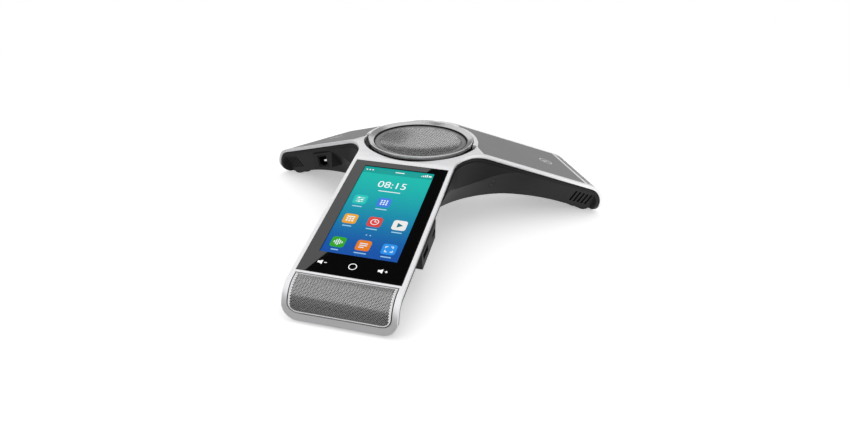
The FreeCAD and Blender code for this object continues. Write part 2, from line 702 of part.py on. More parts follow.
def valley_web(edge, trough, radius):
    """Filling that rounds the meeting of two leaning sides, the same all the way down the edge."""
    high, low = sorted((vertex.Point for vertex in edge.Vertexes), key=lambda point: -point.z)
    sides = [face for face in trough.Faces if any(edge.isSame(other) for other in face.Edges)]
    ways = []
    for face in sides:
        way = face.normalAt(0, 0).cross(vector(0, 0, 1)).normalize()
        outward = vector(high.x, high.y, 0)
        ways.append(way if way.dot(outward) > 0 else way * -1)
    opening = ways[0].getAngle(ways[1])
    reach = radius / math.tan(opening / 2)
    ends = [high + way * reach for way in ways]
    middle = (ways[0] + ways[1]).normalize()
    arc_point = high + middle * (radius / math.sin(opening / 2) - radius)
    outline = (Part.LineSegment(high, ends[0]), Part.Arc(ends[0], arc_point, ends[1]),
               Part.LineSegment(ends[1], high))
    wire = Part.Wire([curve.toShape() for curve in outline])
    return Part.Face(wire).extrude(low - high)


def valley_webs(body, radius):
    """Fillings of a trough's three inner corners, from the lip's lower edge down."""
    level_top = f"dims.deck_height - ({lip_low})"
    turn_about_hub(body, [("0", level_top), ("90", level_top), ("90", "110"), ("0", "110")], "Groove")
    doc.recompute()
    trough = body.Tip.Shape
    webs = []
    for edge in filter(is_valley, trough.Edges):
        web = doc.addObject("Part::Feature", f"{body.Name}_web")
        web.Shape = valley_web(edge, trough, size(radius))
        webs.append(web)
    return webs


hull = leaning_arms("hull", "0", "0", lip_high)
hull_webs = valley_webs(hull, "dims.valley_round")
hull_well = new_body("hull_well")
bowl(hull_well, "0", "dims.belly")
hull_under_roof = common("hull_under_roof", [fuse("hull_rounded", [hull, hull_well] + hull_webs), lip_core])
hull_arched = cut("hull_arched", hull_under_roof, [under_arch("arch_space", "0")])
shell_solid = fuse("shell_solid", [lip_band, hull_arched])
inner_trough = leaning_arms("inner_trough", "dims.shell_wall", "0", "-3")
inner_webs = valley_webs(inner_trough, "dims.valley_round + dims.shell_wall")
web_limit = three_arms("web_limit", "dims.shell_half - 1.5", "dims.hub_fillet + 2", "-3", "dims.deck_height")
inner_corners = common("inner_corners", [fuse("inner_web_group", inner_webs), web_limit])
cavity = leaning_arms("cavity", "dims.shell_wall", "20", "-3")
bowl(cavity, "dims.shell_wall", "dims.belly + dims.shell_wall")
cavity_rounded = fuse("cavity_rounded", [cavity, inner_corners])
cavity_raised = cut("cavity_raised", cavity_rounded, [under_arch("floor_space", "dims.shell_wall")])
shell_hollow = cut("shell_hollow", shell_solid, [cavity_raised])


def wall_box(name, arm, side, half_along, half_up, inwards):
    """Box square to the leaning wall at a side socket, between two depths behind the wall's face."""
    near, far = inwards
    box = doc.addObject("Part::Box", name)
    box.setExpression("Length", f"2 * ({half_along})")
    box.setExpression("Width", f"({far}) - ({near})")
    box.setExpression("Height", f"2 * ({half_up})")
    spot = arm.upright("dims.side_socket_along", f"{side} * dims.side_socket_across", "dims.side_socket_height")
    lean = FreeCAD.Rotation(vector(1, 0, 0), -side * size("dims.side_wall_lean"))
    start = -size(far) if side > 0 else size(near)
    corner = FreeCAD.Placement(vector(-size(half_along), start, -size(half_up)), FreeCAD.Rotation())
    box.Placement = spot * FreeCAD.Placement(vector(0, 0, 0), lean) * corner
    return box


def flank(name, arm, corners):
    """Upright wedge that bevels the hub end of a socket boss."""
    body = new_body(name)
    extrude(body, "Pad", draw(body, "XY_Plane", [corners], arm.bearing, "10"), "60")
    return body


def rounded_rectangle(along, across, radius):
    (west, east), (south, north) = along, across
    return [(f"{west} + {radius}", south), (f"{east} - {radius}", south, radius, -1),
            (east, f"{south} + {radius}"), (east, f"{north} - {radius}", radius, -1),
            (f"{east} - {radius}", north), (f"{west} + {radius}", north, radius, -1),
            (west, f"{north} - {radius}"), (west, f"{south} + {radius}", radius, -1)]


# Socket bosses, board posts and screw pillars that stand on the shell
network_block = block("network_boss_block", left, ("69", "113.5"), ("30", "43.8"), ("8.7", "24"))
network_flank = flank("network_flank", left, [("50", "29"), ("75.5", "29"), ("78.6", "44.6"), ("50", "44.6")])
network_boss = cut("network_boss", network_block, [network_flank])
usb_block = block("usb_boss_block", front, ("101", "152"), ("33.2", "44"), ("8", "23.5"))
usb_flank = flank("usb_flank", front, [("90", "25"), ("109.6", "44.6"), ("90", "44.6")])
usb_boss = cut("usb_boss", usb_block, [usb_flank])
shell_parts = [shell_hollow, network_boss, usb_boss]
board_posts = [(front, "74", "20", "19.25", "40.5"), (front, "168", "22", "19.25", "26.2"),
               (left, "80", "12", "24.05", "36.5"), (left, "106", "12", "24.05", "29.3")]
board_posts += [(front, "dims.front_reach - 12.5", "9", "9.65", "28.6")]
board_posts += [(arm, "dims.rear_reach - 12.5", "9", "9.65", "26.2") for arm in rear_arms]
for arm, along, across, top, bottom in board_posts:
    for side in (-1, 1):
        foot = arm.tilted(along, f"{side} * {across}", bottom)
        shell_parts.append(drum(f"post_{arm.name}", foot, "2.4", f"{bottom} - {top}"))
shell_cuts = []
screws = []
for arm in arms:
    for side in (-1, 1):
        spot = (arm.screw_along, f"{side} * dims.screw_across")
        shell_parts.append(drum(f"pillar_{arm.name}", arm.upright(*spot, "3.6"), "5", "6.3"))
        shell_cuts.append(drum(f"head_well_{arm.name}", arm.upright(*spot, "-5"), "3.2", "12.4"))
        shell_cuts.append(drum(f"shank_hole_{arm.name}", arm.upright(*spot, "7"), "1.7", "4"))
        head = drum(f"head_{arm.name}", arm.upright(*spot, "5.4"), "dims.screw_head", "2")
        shank = drum(f"shank_{arm.name}", arm.upright(*spot, "7"), "dims.screw_radius - 0.05", "9.5")
        screws.append(fuse(f"screw_{arm.name}", [head, shank]))
finish("base_screws", fuse("base_screw_group", screws))

# Holes through the shell: sockets, side sockets, vents, foot recesses and the room for the hub's collar
jack_gap = ("10.8", "22.35")
usb_gap = ("11.7", "17.75")
micro_gap = ("14.4", "17.75")
shell_cuts.append(block("jack_hole", left, about("dims.jack_along", "7.7"), ("15", "50"), jack_gap))
shell_cuts.append(block("usb_hole", front, about("dims.usb_along", "6.6"), ("20", "50"), usb_gap))
shell_cuts.append(block("micro_hole", front, about("dims.micro_along", "4"), ("20", "50"), micro_gap))
for arm, side in ((right, -1), (left, 1)):
    shell_cuts.append(wall_box(f"side_hole_{arm.name}", arm, side, "2.1", "6", ("-5", "6.7")))
for arm in arms:
    vents = new_body(f"vents_{arm.name}")
    outlines = []
    for number in range(VENT_COUNT):
        west = f"{arm.reach} - dims.vent_start + {number} * dims.vent_pitch"
        east = f"{west} + dims.vent_width"
        outlines.append([arm.at(west, "dims.vent_top"), arm.at(east, "dims.vent_top"),
                         arm.at(f"{east} + dims.vent_lean", "dims.vent_low"),
                         arm.at(f"{west} + dims.vent_lean", "dims.vent_low")])
    extrude(vents, "Pad", draw(vents, "XZ_Plane", outlines, arm.bearing), "120", symmetric=True)
    west = f"{arm.reach} - dims.vent_start - dims.vent_low"
    between = [(west, "-10"), (arm.reach, "-10"), (arm.reach, "60"), (west, "60")]
    extrude(vents, "Pocket", draw(vents, "XZ_Plane", [between], arm.bearing), "56", symmetric=True)
    shell_cuts.append(vents)
    foot_along = about(f"{arm.reach} - dims.foot_inset", "dims.foot_half_wide")
    foot_across = about("0", "dims.foot_half_long")
    recess = new_body(f"foot_recess_{arm.name}")
    recess_plan = rounded_rectangle(about(f"{arm.reach} - dims.foot_inset", "(dims.foot_half_wide + 0.2)"),
                                    about("0", "(dims.foot_half_long + 0.2)"), "4.2")
    recess_outline = draw(recess, "XY_Plane", [recess_plan], arm.bearing, "-2")
    extrude(recess, "Pad", recess_outline, "dims.foot_high + 2.05")
    shell_cuts.append(recess)
    foot = new_body(f"{arm.name}_foot")
    foot_plan = rounded_rectangle(foot_along, foot_across, "4")
    extrude(foot, "Pad", draw(foot, "XY_Plane", [foot_plan], arm.bearing), "dims.foot_high")
    finish(f"{arm.name}_foot", foot)
collar_room = new_body("collar_room")
turn_about_hub(collar_room, [("0", "57"), ("43.2", "57"), ("43.2", "65.2"), ("53.6", "65.2"), ("53.6", "90"),
                             ("0", "90")])
shell_cuts.append(collar_room)
finish("base_shell", cut("shell_whole", fuse("shell_joined", shell_parts), shell_cuts))

# Boards, microphones and sockets
main_low = "dims.main_board_depth + dims.board_thick"
main_depth = ("dims.main_board_depth", main_low)
finish("main_board", block("main_board_block", front, ("68", "178"), ("-32", "32"), main_depth))
shield_depth = ("13.6", "dims.main_board_depth - 0.02")
finish("processor_shield", block("shield_block", front, ("92", "108"), ("-16", "16"), shield_depth))
network_depth = ("dims.network_board_depth", "dims.network_board_depth + dims.board_thick")
finish("network_board", block("network_board_block", left, ("74", "112"), ("-18", "27"), network_depth))
jack_body = block("jack_body", left, about("dims.jack_along", "7.5"), ("22.5", "43.4"), ("11", "22.35"))
jack_room = block("jack_room", left, about("dims.jack_along", "5.8"), ("29", "50"), ("12.2", "20.2"))
jack_latch = block("jack_latch", left, about("dims.jack_along", "2.9"), ("29", "50"), ("19", "21.4"))
finish("ethernet_jack", cut("jack_cut", jack_body, [jack_room, jack_latch]))
usb_body = block("usb_body", front, about("dims.usb_along", "6.35"), ("30", "43.4"), ("11.9", "17.55"))
usb_room = block("usb_room", front, about("dims.usb_along", "5.95"), ("31.5", "50"), ("12.4", "17.05"))
usb_tongue = block("usb_tongue", front, about("dims.usb_along", "5.5"), ("31", "42"), ("12.9", "14.7"))
finish("usb_socket", fuse("usb_joined", [cut("usb_cut", usb_body, [usb_room]), usb_tongue]))
micro_body = block("micro_body", front, about("dims.micro_along", "3.75"), ("31", "43.4"), ("14.7", "17.55"))
micro_room = block("micro_room", front, about("dims.micro_along", "3.3"), ("38", "50"), ("15.1", "17.1"))
micro_span = about("dims.micro_along", "2.2")
micro_tongue = block("micro_tongue", front, micro_span, ("37", "42.6"), ("15.5", "16.1"))
finish("micro_usb_socket", fuse("micro_joined", [cut("micro_cut", micro_body, [micro_room]), micro_tongue]))
for arm, side in ((right, -1), (left, 1)):
    socket = wall_box(f"side_socket_{arm.name}", arm, side, "1.6", "5.5", ("0.8", "6.6"))
    mouth = wall_box(f"side_mouth_{arm.name}", arm, side, "0.5", "3.6", ("0", "5.4"))
    finish(f"{arm.name}_side_socket", cut(f"side_socket_cut_{arm.name}", socket, [mouth]))
for arm in arms:
    mic_along = f"{arm.reach} - 9.5"
    capsule = drum(f"capsule_{arm.name}", arm.tilted(mic_along, "0", "8.55"), "3", "3.3")
    finish(f"{arm.name}_microphone", capsule)
    boot_outer = drum(f"boot_outer_{arm.name}", arm.tilted(mic_along, "0", "8.55"), "4.6", "4")
    boot_inner = drum(f"boot_inner_{arm.name}", arm.tilted(mic_along, "0", "9"), "3.05", "6")
    finish(f"{arm.name}_microphone_boot", cut(f"boot_cut_{arm.name}", boot_outer, [boot_inner]))
    board_along = (f"{arm.reach} - 15.5", f"{arm.reach} - 3.5")
    mic_board = block(f"mic_board_{arm.name}", arm, board_along, ("-12", "12"), ("8.6", "9.6"))
    finish(f"{arm.name}_microphone_board", mic_board)

# Test every object, then write each piece
doc.recompute()
failed = [item.Name for item in doc.Objects if {"Invalid", "Error"} & set(item.State)]
if failed:
    raise RuntimeError(f"failed objects: {failed}")
for piece in pieces:
    if piece.Shape.isNull() or not piece.Shape.isValid():
        raise RuntimeError(f"bad shape: {piece.Label}")
os.makedirs("parts", exist_ok=True)
for piece in pieces:
    piece.Shape.exportStep(f"parts/{piece.Label}.step")
    box = piece.Shape.BoundBox
    print(f"{piece.Label}: {len(piece.Shape.Solids)} solid, {piece.Shape.Volume / 1000:.2f} cm3, "
          f"z {box.ZMin:.1f} to {box.ZMax:.1f}")
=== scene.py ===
# %% [markdown]
# # A three-armed conference telephone, dressed in Blender
# The solids of the telephone come in as a fixed frame: every arm, panel and screw already has its true place.
# This lesson gives them finishes and replaces what plain solids can't show: the perforated noses, the
# perforated loudspeaker dish, the cover glass with its clear window and the lit screen below it.

# %% Load the solids
import json
import math
import bmesh
import bpy
from mathutils import Matrix, Vector

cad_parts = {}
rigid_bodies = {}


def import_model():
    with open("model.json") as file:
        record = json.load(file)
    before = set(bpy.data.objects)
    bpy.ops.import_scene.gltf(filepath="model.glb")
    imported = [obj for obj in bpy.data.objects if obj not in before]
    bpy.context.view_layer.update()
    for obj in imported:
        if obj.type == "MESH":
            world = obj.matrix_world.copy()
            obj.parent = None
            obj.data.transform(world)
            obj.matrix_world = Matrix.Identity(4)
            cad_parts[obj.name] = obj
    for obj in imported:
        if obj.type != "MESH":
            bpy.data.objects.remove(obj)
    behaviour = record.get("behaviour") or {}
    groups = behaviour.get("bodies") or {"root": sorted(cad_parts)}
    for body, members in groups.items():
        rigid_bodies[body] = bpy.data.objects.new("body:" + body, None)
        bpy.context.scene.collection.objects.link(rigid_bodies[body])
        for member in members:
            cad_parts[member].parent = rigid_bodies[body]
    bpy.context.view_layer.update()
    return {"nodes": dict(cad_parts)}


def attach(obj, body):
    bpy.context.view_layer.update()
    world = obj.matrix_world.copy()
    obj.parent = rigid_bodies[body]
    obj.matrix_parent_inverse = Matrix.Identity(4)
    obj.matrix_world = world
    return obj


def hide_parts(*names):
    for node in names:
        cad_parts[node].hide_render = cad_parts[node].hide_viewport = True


for leftover in list(bpy.data.objects):
    bpy.data.objects.remove(leftover)
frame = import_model()

# %% [markdown]
# ## The camera
# A product photographer stands a little to the right of the front arm and looks down at about 26 degrees.
# The lens is fairly wide, so the front arm looks larger than the two rear arms. The tiny roll and the small
# shift put the telephone where it stands in the picture.

# %% Camera
CAMERA_PLACE = Vector((0.17810, -0.59703, 0.31551))
CAMERA_TARGET = Vector((-0.00001, 0.02126, 0.00771))
CAMERA_ROLL = math.radians(0.74)
CAMERA_LENS = 32.253
CAMERA_SHIFT = (0.01465, 0.00146)
FILM_WIDTH = 36


def add_object(name, data):
    made = bpy.data.objects.new(name, data)
    bpy.context.scene.collection.objects.link(made)
    return made


looking = (CAMERA_TARGET - CAMERA_PLACE).normalized()
level_right = looking.cross(Vector((0, 0, 1))).normalized()
level_up = level_right.cross(looking)
right = level_right * math.cos(CAMERA_ROLL) + level_up * math.sin(CAMERA_ROLL)
up = level_up * math.cos(CAMERA_ROLL) - level_right * math.sin(CAMERA_ROLL)

camera = add_object("camera", bpy.data.cameras.new("camera"))
camera.data.sensor_width = FILM_WIDTH
camera.data.lens = CAMERA_LENS
camera.data.shift_x, camera.data.shift_y = CAMERA_SHIFT
camera.matrix_world = Matrix.Translation(CAMERA_PLACE) @ Matrix((right, up, -looking)).transposed().to_4x4()
bpy.context.scene.camera = camera
bpy.context.scene.view_settings.view_transform = "Standard"
print("camera distance:", round((CAMERA_TARGET - CAMERA_PLACE).length, 3))

# %% [markdown]
# ## Writing a finish as a sum
# A material is a net of nodes, and a net is slow to read. This small class wraps one socket, so that two
# patterns can be added, multiplied or compared as numbers are. Every other node is made by its method `node`,
# which takes the kind of node, its settings and what goes into its sockets.


# %% Sockets that add up
class Wire:
    """One socket of a finish, which takes part in sums."""

    def __init__(self, tree, socket=None):
        self.tree = tree
        self.socket = socket

    def node(self, kind, settings=None, inputs=None, output=0):
        made = self.tree.nodes.new(kind)
        for name, value in (settings or {}).items():
            setattr(made, name, value)
        for name, value in (inputs or {}).items():
            if isinstance(value, Wire):
                self.tree.links.new(value.socket, made.inputs[name])
            else:
                made.inputs[name].default_value = value
        return Wire(self.tree, made.outputs[output])

    def sum(self, operation, first, second):
        return self.node("ShaderNodeMath", {"operation": operation}, {0: first, 1: second})

    def __add__(self, other):
        return self.sum("ADD", self, other)

    def __radd__(self, other):
        return self.sum("ADD", other, self)

    def __sub__(self, other):
        return self.sum("SUBTRACT", self, other)

    def __rsub__(self, other):
        return self.sum("SUBTRACT", other, self)

    def __mul__(self, other):
        return self.sum("MULTIPLY", self, other)

    def __rmul__(self, other):
        return self.sum("MULTIPLY", other, self)

    def __gt__(self, other):
        return self.sum("GREATER_THAN", self, other)

    def mix(self, dark, light):
        """A colour between two, with this socket as the share of the second."""
        return self.node("ShaderNodeMix", {"data_type": "RGBA"}, {0: self, 6: dark, 7: light}, 2)


def tint(red, green, blue):
    """A colour as a paint shop's screen shows it, 0 to 255, made linear for the shader."""
    def linear(part):
        part = part / 255
        return part / 12.92 if part <= 0.04045 else ((part + 0.055) / 1.055) ** 2.4
    return linear(red), linear(green), linear(blue), 1.0


class Finish:
    """A material with its shader's fixed values set and its coordinates ready."""

    def __init__(self, name, fixed):
        self.material = bpy.data.materials.new(name)
        self.material.use_nodes = True
        self.tree = self.material.node_tree
        self.shader = self.tree.nodes["Principled BSDF"]
        for socket, value in fixed.items():
            self.shader.inputs[socket].default_value = value
        self.place = Wire(self.tree).node("ShaderNodeTexCoord", output="Object")

    def feed(self, socket, wire):
        self.tree.links.new(wire.socket, self.shader.inputs[socket])

    def noise(self, size, detail=2.0, roughness=0.5):
        """Cloudy noise whose blotches are about `size` metres across."""
        inputs = {"Vector": self.place, "Scale": 1 / size, "Detail": detail, "Roughness": roughness}
        return self.place.node("ShaderNodeTexNoise", {}, inputs)

    def cells(self, size):
        """Distance to the nearest of many scattered points about `size` metres apart."""
        return self.place.node("ShaderNodeTexVoronoi", {}, {"Vector": self.place, "Scale": 1 / size})

    def relief(self, height, depth):
        """Raises the surface by a pattern, `depth` metres from its low to its high places."""
        bump = height.node("ShaderNodeBump", {}, {"Strength": 1.0, "Distance": depth, "Height": height})
        self.feed("Normal", bump)


print("finishes are written as sums of patterns")

# %% [markdown]
# ## Silver, grey and charcoal
# The frame is moulded and sprayed with a satin silver: fine flakes lie in a clear layer, and the coat is
# never quite flat. The rear covers are moulded in grey with a spark-eroded grain. The lower shell is a
# charcoal moulding with a similar grain, which hides how it was filled.

# %% Finishes of the outside
SILVER = tint(250, 250, 251)
SILVER_DEEP = tint(238, 238, 240)


def satin_silver(name, rough, low=SILVER_DEEP, high=SILVER, metallic=0.85):
    finish = Finish(name, {"Metallic": metallic})
    flakes = finish.cells(0.00035)
    clouds = finish.noise(0.02, 3.0)
    finish.feed("Base Color", (flakes * 0.7 + clouds * 0.3).mix(high, low))
    finish.feed("Roughness", rough + clouds * 0.06 + flakes * 0.05)
    finish.relief(finish.noise(0.0012, 1.0), 0.000004)
    return finish.material


def grained_plastic(name, low, high, rough, grain, depth, gloss=0.2):
    finish = Finish(name, {"Specular IOR Level": gloss})
    pits = finish.noise(grain, 3.0, 0.6)
    clouds = finish.noise(0.03, 2.0)
    finish.feed("Base Color", (pits * 0.75 + clouds * 0.25).mix(low, high))
    finish.feed("Roughness", rough + pits * 0.12)
    finish.relief(pits, depth)
    return finish.material


frame_silver = satin_silver("frame silver", 0.4)
ring_silver = satin_silver("ring silver", 0.16, tint(190, 190, 191), tint(214, 214, 215), 1.0)
panel_grey = grained_plastic("cover grey", tint(120, 120, 121), tint(148, 148, 149), 0.5, 0.0007, 0.00004)
shell_charcoal = grained_plastic(
    "shell charcoal", tint(20, 20, 21), tint(36, 36, 38), 0.45, 0.0006, 0.00004, 0.25)
black_plastic = grained_plastic("black moulding", tint(12, 12, 13), tint(26, 26, 27), 0.4, 0.0005, 0.00003)
jack_plastic = grained_plastic("jack moulding", tint(8, 8, 9), tint(18, 18, 19), 0.4, 0.0005, 0.00002)
socket_plastic = grained_plastic("socket tongue", tint(18, 18, 20), tint(34, 34, 36), 0.35, 0.0004, 0.00002)
side_plastic = grained_plastic(
    "side socket plastic", tint(46, 46, 47), tint(66, 66, 68), 0.4, 0.0004, 0.00002)
foot_rubber = grained_plastic("foot rubber", tint(20, 20, 20), tint(38, 38, 38), 0.75, 0.0008, 0.00006)
soft_rubber = grained_plastic("surround rubber", tint(14, 14, 14), tint(30, 30, 30), 0.6, 0.0004, 0.00003)
gasket_foam = grained_plastic("sealing foam", tint(22, 22, 22), tint(60, 60, 60), 0.9, 0.0009, 0.0002)
print("outside finishes:", len(bpy.data.materials))

# %% [markdown]
# ## Metal, paper and copper inside
# The inside shows only when the telephone is taken apart, but a repair shop would know each piece by its
# surface: drawn steel with fine lines, pressed paper with fibres, copper wire wound in rings, ferrite with a
# dusty black face and a green board with darker tracks.

# %% Finishes of the inside
HUB_Y = 0.045
# Rings of a wave texture whose scale is 1 lie this many metres apart.
WAVE_RINGS = 0.314


def drawn_metal(name, low, high, rough, lines):
    finish = Finish(name, {"Metallic": 1.0})
    stretched = finish.place.node("ShaderNodeMapping", {}, {"Vector": finish.place, "Scale": (1, 0.04, 1)})
    streaks = stretched.node(
        "ShaderNodeTexNoise", {}, {"Vector": stretched, "Scale": 1 / lines, "Detail": 3.0})
    clouds = finish.noise(0.012)
    finish.feed("Base Color", (streaks * 0.6 + clouds * 0.4).mix(low, high))
    finish.feed("Roughness", rough + streaks * 0.15)
    finish.relief(streaks, 0.00001)
    return finish.material


def woven_cloth(name, low, high, thread):
    finish = Finish(name, {"Specular IOR Level": 0.2})
    split = finish.place.node("ShaderNodeSeparateXYZ", {}, {0: finish.place})
    across = Wire(split.tree, split.socket.node.outputs["X"])
    along = Wire(split.tree, split.socket.node.outputs["Y"])
    turn = 2 * math.pi / thread
    weft = across.sum("SINE", across * turn, 0.0)
    warp = along.sum("SINE", along * turn, 0.0)
    weave = weft * warp * 0.5 + 0.5
    finish.feed("Base Color", weave.mix(low, high))
    finish.feed("Roughness", 0.8 + weave * 0.15)
    finish.relief(weave, 0.00008)
    return finish.material


def turned_rings(name, low, high, pitch, metallic, rough):
    """Rings round the hub's axis, as wire or pressed ribs leave them."""
    finish = Finish(name, {"Metallic": metallic})
    centred = finish.place.node("ShaderNodeMapping", {}, {"Vector": finish.place, "Location": (0, -HUB_Y, 0)})
    waves = centred.node(
        "ShaderNodeTexWave", {"wave_type": "RINGS", "rings_direction": "Z"},
        {"Vector": centred, "Scale": WAVE_RINGS / pitch, "Distortion": 0.4, "Detail": 1.0})
    fibres = finish.noise(0.0009, 4.0, 0.7)
    finish.feed("Base Color", (waves * 0.45 + fibres * 0.55).mix(low, high))
    finish.feed("Roughness", rough + fibres * 0.15)
    finish.relief(waves * 0.6 + fibres * 0.4, 0.00006)
    return finish.material


def board_green(name):
    finish = Finish(name, {"Coat Weight": 0.3})
    tracks = finish.place.node(
        "ShaderNodeTexBrick", {"offset": 0.5},
        {"Vector": finish.place, "Scale": 260.0, "Mortar Size": 0.03, "Color1": (0, 0, 0, 1),
         "Color2": (0.25, 0.25, 0.25, 1), "Mortar": (1, 1, 1, 1)})
    weave = finish.noise(0.0006, 2.0)
    lines = tracks.node("ShaderNodeRGBToBW", {}, {0: tracks})
    finish.feed("Base Color", (lines * 0.7 + weave * 0.3).mix(tint(8, 58, 36), tint(42, 118, 70)))
    finish.feed("Roughness", 0.35 + weave * 0.2)
    finish.relief(lines, 0.00003)
    return finish.material


tray_metal = drawn_metal("tray steel", tint(150, 152, 154), tint(200, 202, 204), 0.3, 0.0008)
basket_steel = drawn_metal("basket steel", tint(60, 61, 63), tint(96, 97, 100), 0.4, 0.0008)
screw_steel = drawn_metal("screw steel", tint(120, 121, 124), tint(190, 191, 194), 0.3, 0.0003)
shield_tin = drawn_metal("shield tin", tint(170, 170, 168), tint(216, 216, 212), 0.32, 0.0006)
capsule_metal = drawn_metal("capsule tin", tint(160, 160, 158), tint(208, 208, 205), 0.3, 0.0004)
sensor_film = woven_cloth("sensor film", tint(120, 66, 14), tint(178, 104, 28), 0.002)
spider_cloth = woven_cloth("spider cloth", tint(120, 92, 40), tint(170, 138, 76), 0.0009)
magnet_ferrite = grained_plastic("magnet ferrite", tint(24, 24, 25), tint(58, 58, 60), 0.6, 0.001, 0.00008)
cone_paper = turned_rings("cone paper", tint(26, 26, 27), tint(60, 60, 60), 0.0022, 0.0, 0.75)
coil_copper = turned_rings("coil copper", tint(132, 66, 30), tint(205, 120, 70), 0.0004, 1.0, 0.25)
circuit_board = board_green("circuit board")
print("all finishes so far:", len(bpy.data.materials))

# %% [markdown]
# ## Dressing the solids
# Each solid arrives with one plain material named after its place in the record. The plain one goes out and
# the finish of the same name comes in. Five pieces then get a finish of their own, because the real ones are
# brighter or darker than the rest of their kind.

# %% Put the finishes on
SLOT_FINISH = {
    "frame_silver": frame_silver, "panel_grey": panel_grey, "shell_charcoal": shell_charcoal,
    "black_plastic": black_plastic, "jack_plastic": jack_plastic, "socket_plastic": socket_plastic,
    "foot_rubber": foot_rubber, "soft_rubber": soft_rubber, "gasket_foam": gasket_foam,
    "tray_metal": tray_metal, "basket_steel": basket_steel, "screw_steel": screw_steel,
    "shield_tin": shield_tin, "capsule_metal": capsule_metal, "sensor_film": sensor_film,
    "spider_cloth": spider_cloth, "magnet_ferrite": magnet_ferrite, "cone_paper": cone_paper,
    "coil_copper": coil_copper, "circuit_board": circuit_board, "cover_glass": black_plastic,
    "display": black_plastic, "grille_metal": frame_silver,
}
for name, node in frame["nodes"].items():
    slot = node.data.materials[0].name.split(".")[0]
    node.data.materials[0] = SLOT_FINISH[slot]
OWN_FINISH = {
    "speaker_ring": ring_silver, "usb_socket": jack_plastic, "micro_usb_socket": jack_plastic,
    "right_side_socket": side_plastic, "left_side_socket": side_plastic,
}
for name, own_finish in OWN_FINISH.items():
    frame["nodes"][name].data.materials[0] = own_finish
print("dressed:", len(frame["nodes"]))

# %% [markdown]
# ## Soft edges on the frame
# A sprayed moulding has no sharp edge: the coat rounds it, and the round edge catches a line of light. The
# frame arrives as loose triangles, so its corners are joined and its flat faces made whole before a narrow
# bevel goes round the edges. All three are modifiers, so the solid itself stays as it is.

# %% Soften the frame
CORNER_MERGE = 0.000001
FLAT_ANGLE = 0.01
SOFT_EDGE = 0.0007
SHARP_ANGLE = 0.6
frame_steps = frame["nodes"]["top_frame"].modifiers
joined = frame_steps.new("joined corners", "WELD")
joined.merge_threshold = CORNER_MERGE
flattened = frame_steps.new("whole faces", "DECIMATE")
flattened.decimate_type = "DISSOLVE"
flattened.angle_limit = FLAT_ANGLE
softened = frame_steps.new("softened edges", "BEVEL")
softened.width = SOFT_EDGE
softened.segments = 2
softened.limit_method = "ANGLE"
softened.angle_limit = SHARP_ANGLE
softened.harden_normals = False
print("frame steps:", len(frame_steps))

# %% [markdown]
# ## Places on the arms
# Each arm is a ramp that runs out from the hub, drops at its own slope and rolls over a round nose. A piece
# is drawn flat, in millimetres: x across the arm, y uphill, z out of the surface. One matrix then lays it on
# the ramp, so the same drawing works on any arm.

# %% Ramps of the three arms
MM = 0.001
HUB = Vector((0, HUB_Y / MM, 0))
UPWARDS = Vector((0, 0, 1))
NOSE_RADIUS = 18.5
GRILLE_FOOT = 8.9
ARMS = {
    "front": {"bearing": -90.0, "reach": 213.3, "rise": 27.35, "slope": 15.42, "grille_start": 194.9},
    "right": {"bearing": 30.0, "reach": 169.5, "rise": 25.485, "slope": 20.305, "grille_start": 153.9},
    "left": {"bearing": 150.0, "reach": 169.5, "rise": 25.485, "slope": 20.305, "grille_start": 153.9},
}


def directions(arm):
    """Unit vectors out along an arm and across it, and the ramp's angle."""
    bearing = math.radians(ARMS[arm]["bearing"])
    outwards = Vector((math.cos(bearing), math.sin(bearing), 0))
    across = Vector((-math.sin(bearing), math.cos(bearing), 0))
    return outwards, across, math.radians(ARMS[arm]["slope"])


def ramp(arm, along, across=0.0, lift=0.0):
    """Matrix that lays a flat drawing on an arm's ramp, `along` millimetres out from the hub's axis."""
    outwards, sideways, slope = directions(arm)
    uphill = UPWARDS * math.sin(slope) - outwards * math.cos(slope)
    normal = UPWARDS * math.cos(slope) + outwards * math.sin(slope)
    height = ARMS[arm]["rise"] + (ARMS[arm]["reach"] - along) * math.tan(slope)
    start = HUB + outwards * along + UPWARDS * height + sideways * across + normal * lift
    turned = Matrix((sideways, uphill, normal)).transposed().to_4x4()
    return Matrix.Scale(MM, 4) @ Matrix.Translation(start) @ turned


def lay(x, y, turn=0.0, width=1.0, height=1.0):
    spun = Matrix.Rotation(math.radians(turn), 4, "Z")
    return Matrix.Translation((x, y, 0)) @ spun @ Matrix.Diagonal((width, height, 1, 1))


def bar(bm, x, y, width, height, turn=0.0):
    """Adds a rectangle to a drawing."""
    bmesh.ops.create_grid(bm, x_segments=1, y_segments=1, size=0.5, matrix=lay(x, y, turn, width, height))


def soften(bm, sharp, radius, steps, affect="VERTICES"):
    """Rounds corners or edges of a drawing."""
    bmesh.ops.bevel(
        bm, geom=sharp, offset=radius, offset_type="OFFSET", segments=steps, profile=0.5, affect=affect,
        material=-1)


def drawn_object(name, bm, finish):
    """Turns a drawing into an object with one finish."""
    mesh = bpy.data.meshes.new(name)
    bm.to_mesh(mesh)
    bm.free()
    mesh.materials.append(finish)
    return add_object(name, mesh)


def piece(name, bm, finish, place=None):
    """Turns a drawing into a piece that rides on the telephone."""
    bmesh.ops.transform(bm, matrix=place or Matrix.Scale(MM, 4), verts=bm.verts)
    made = drawn_object(name, bm, finish)
    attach(made, "phone")
    return made


def thicken(made, thickness):
    """Gives a sheet its thickness, on the side away from its face."""
    wall = made.modifiers.new("thickness", "SOLIDIFY")
    wall.thickness = thickness * MM
    wall.offset = -1
    return made


def round_edges(made, width, segments):
    edge = made.modifiers.new("rounded edges", "BEVEL")
    edge.width = width * MM
    edge.segments = segments
    edge.limit_method = "ANGLE"
    return made


print("arms:", ", ".join(ARMS))

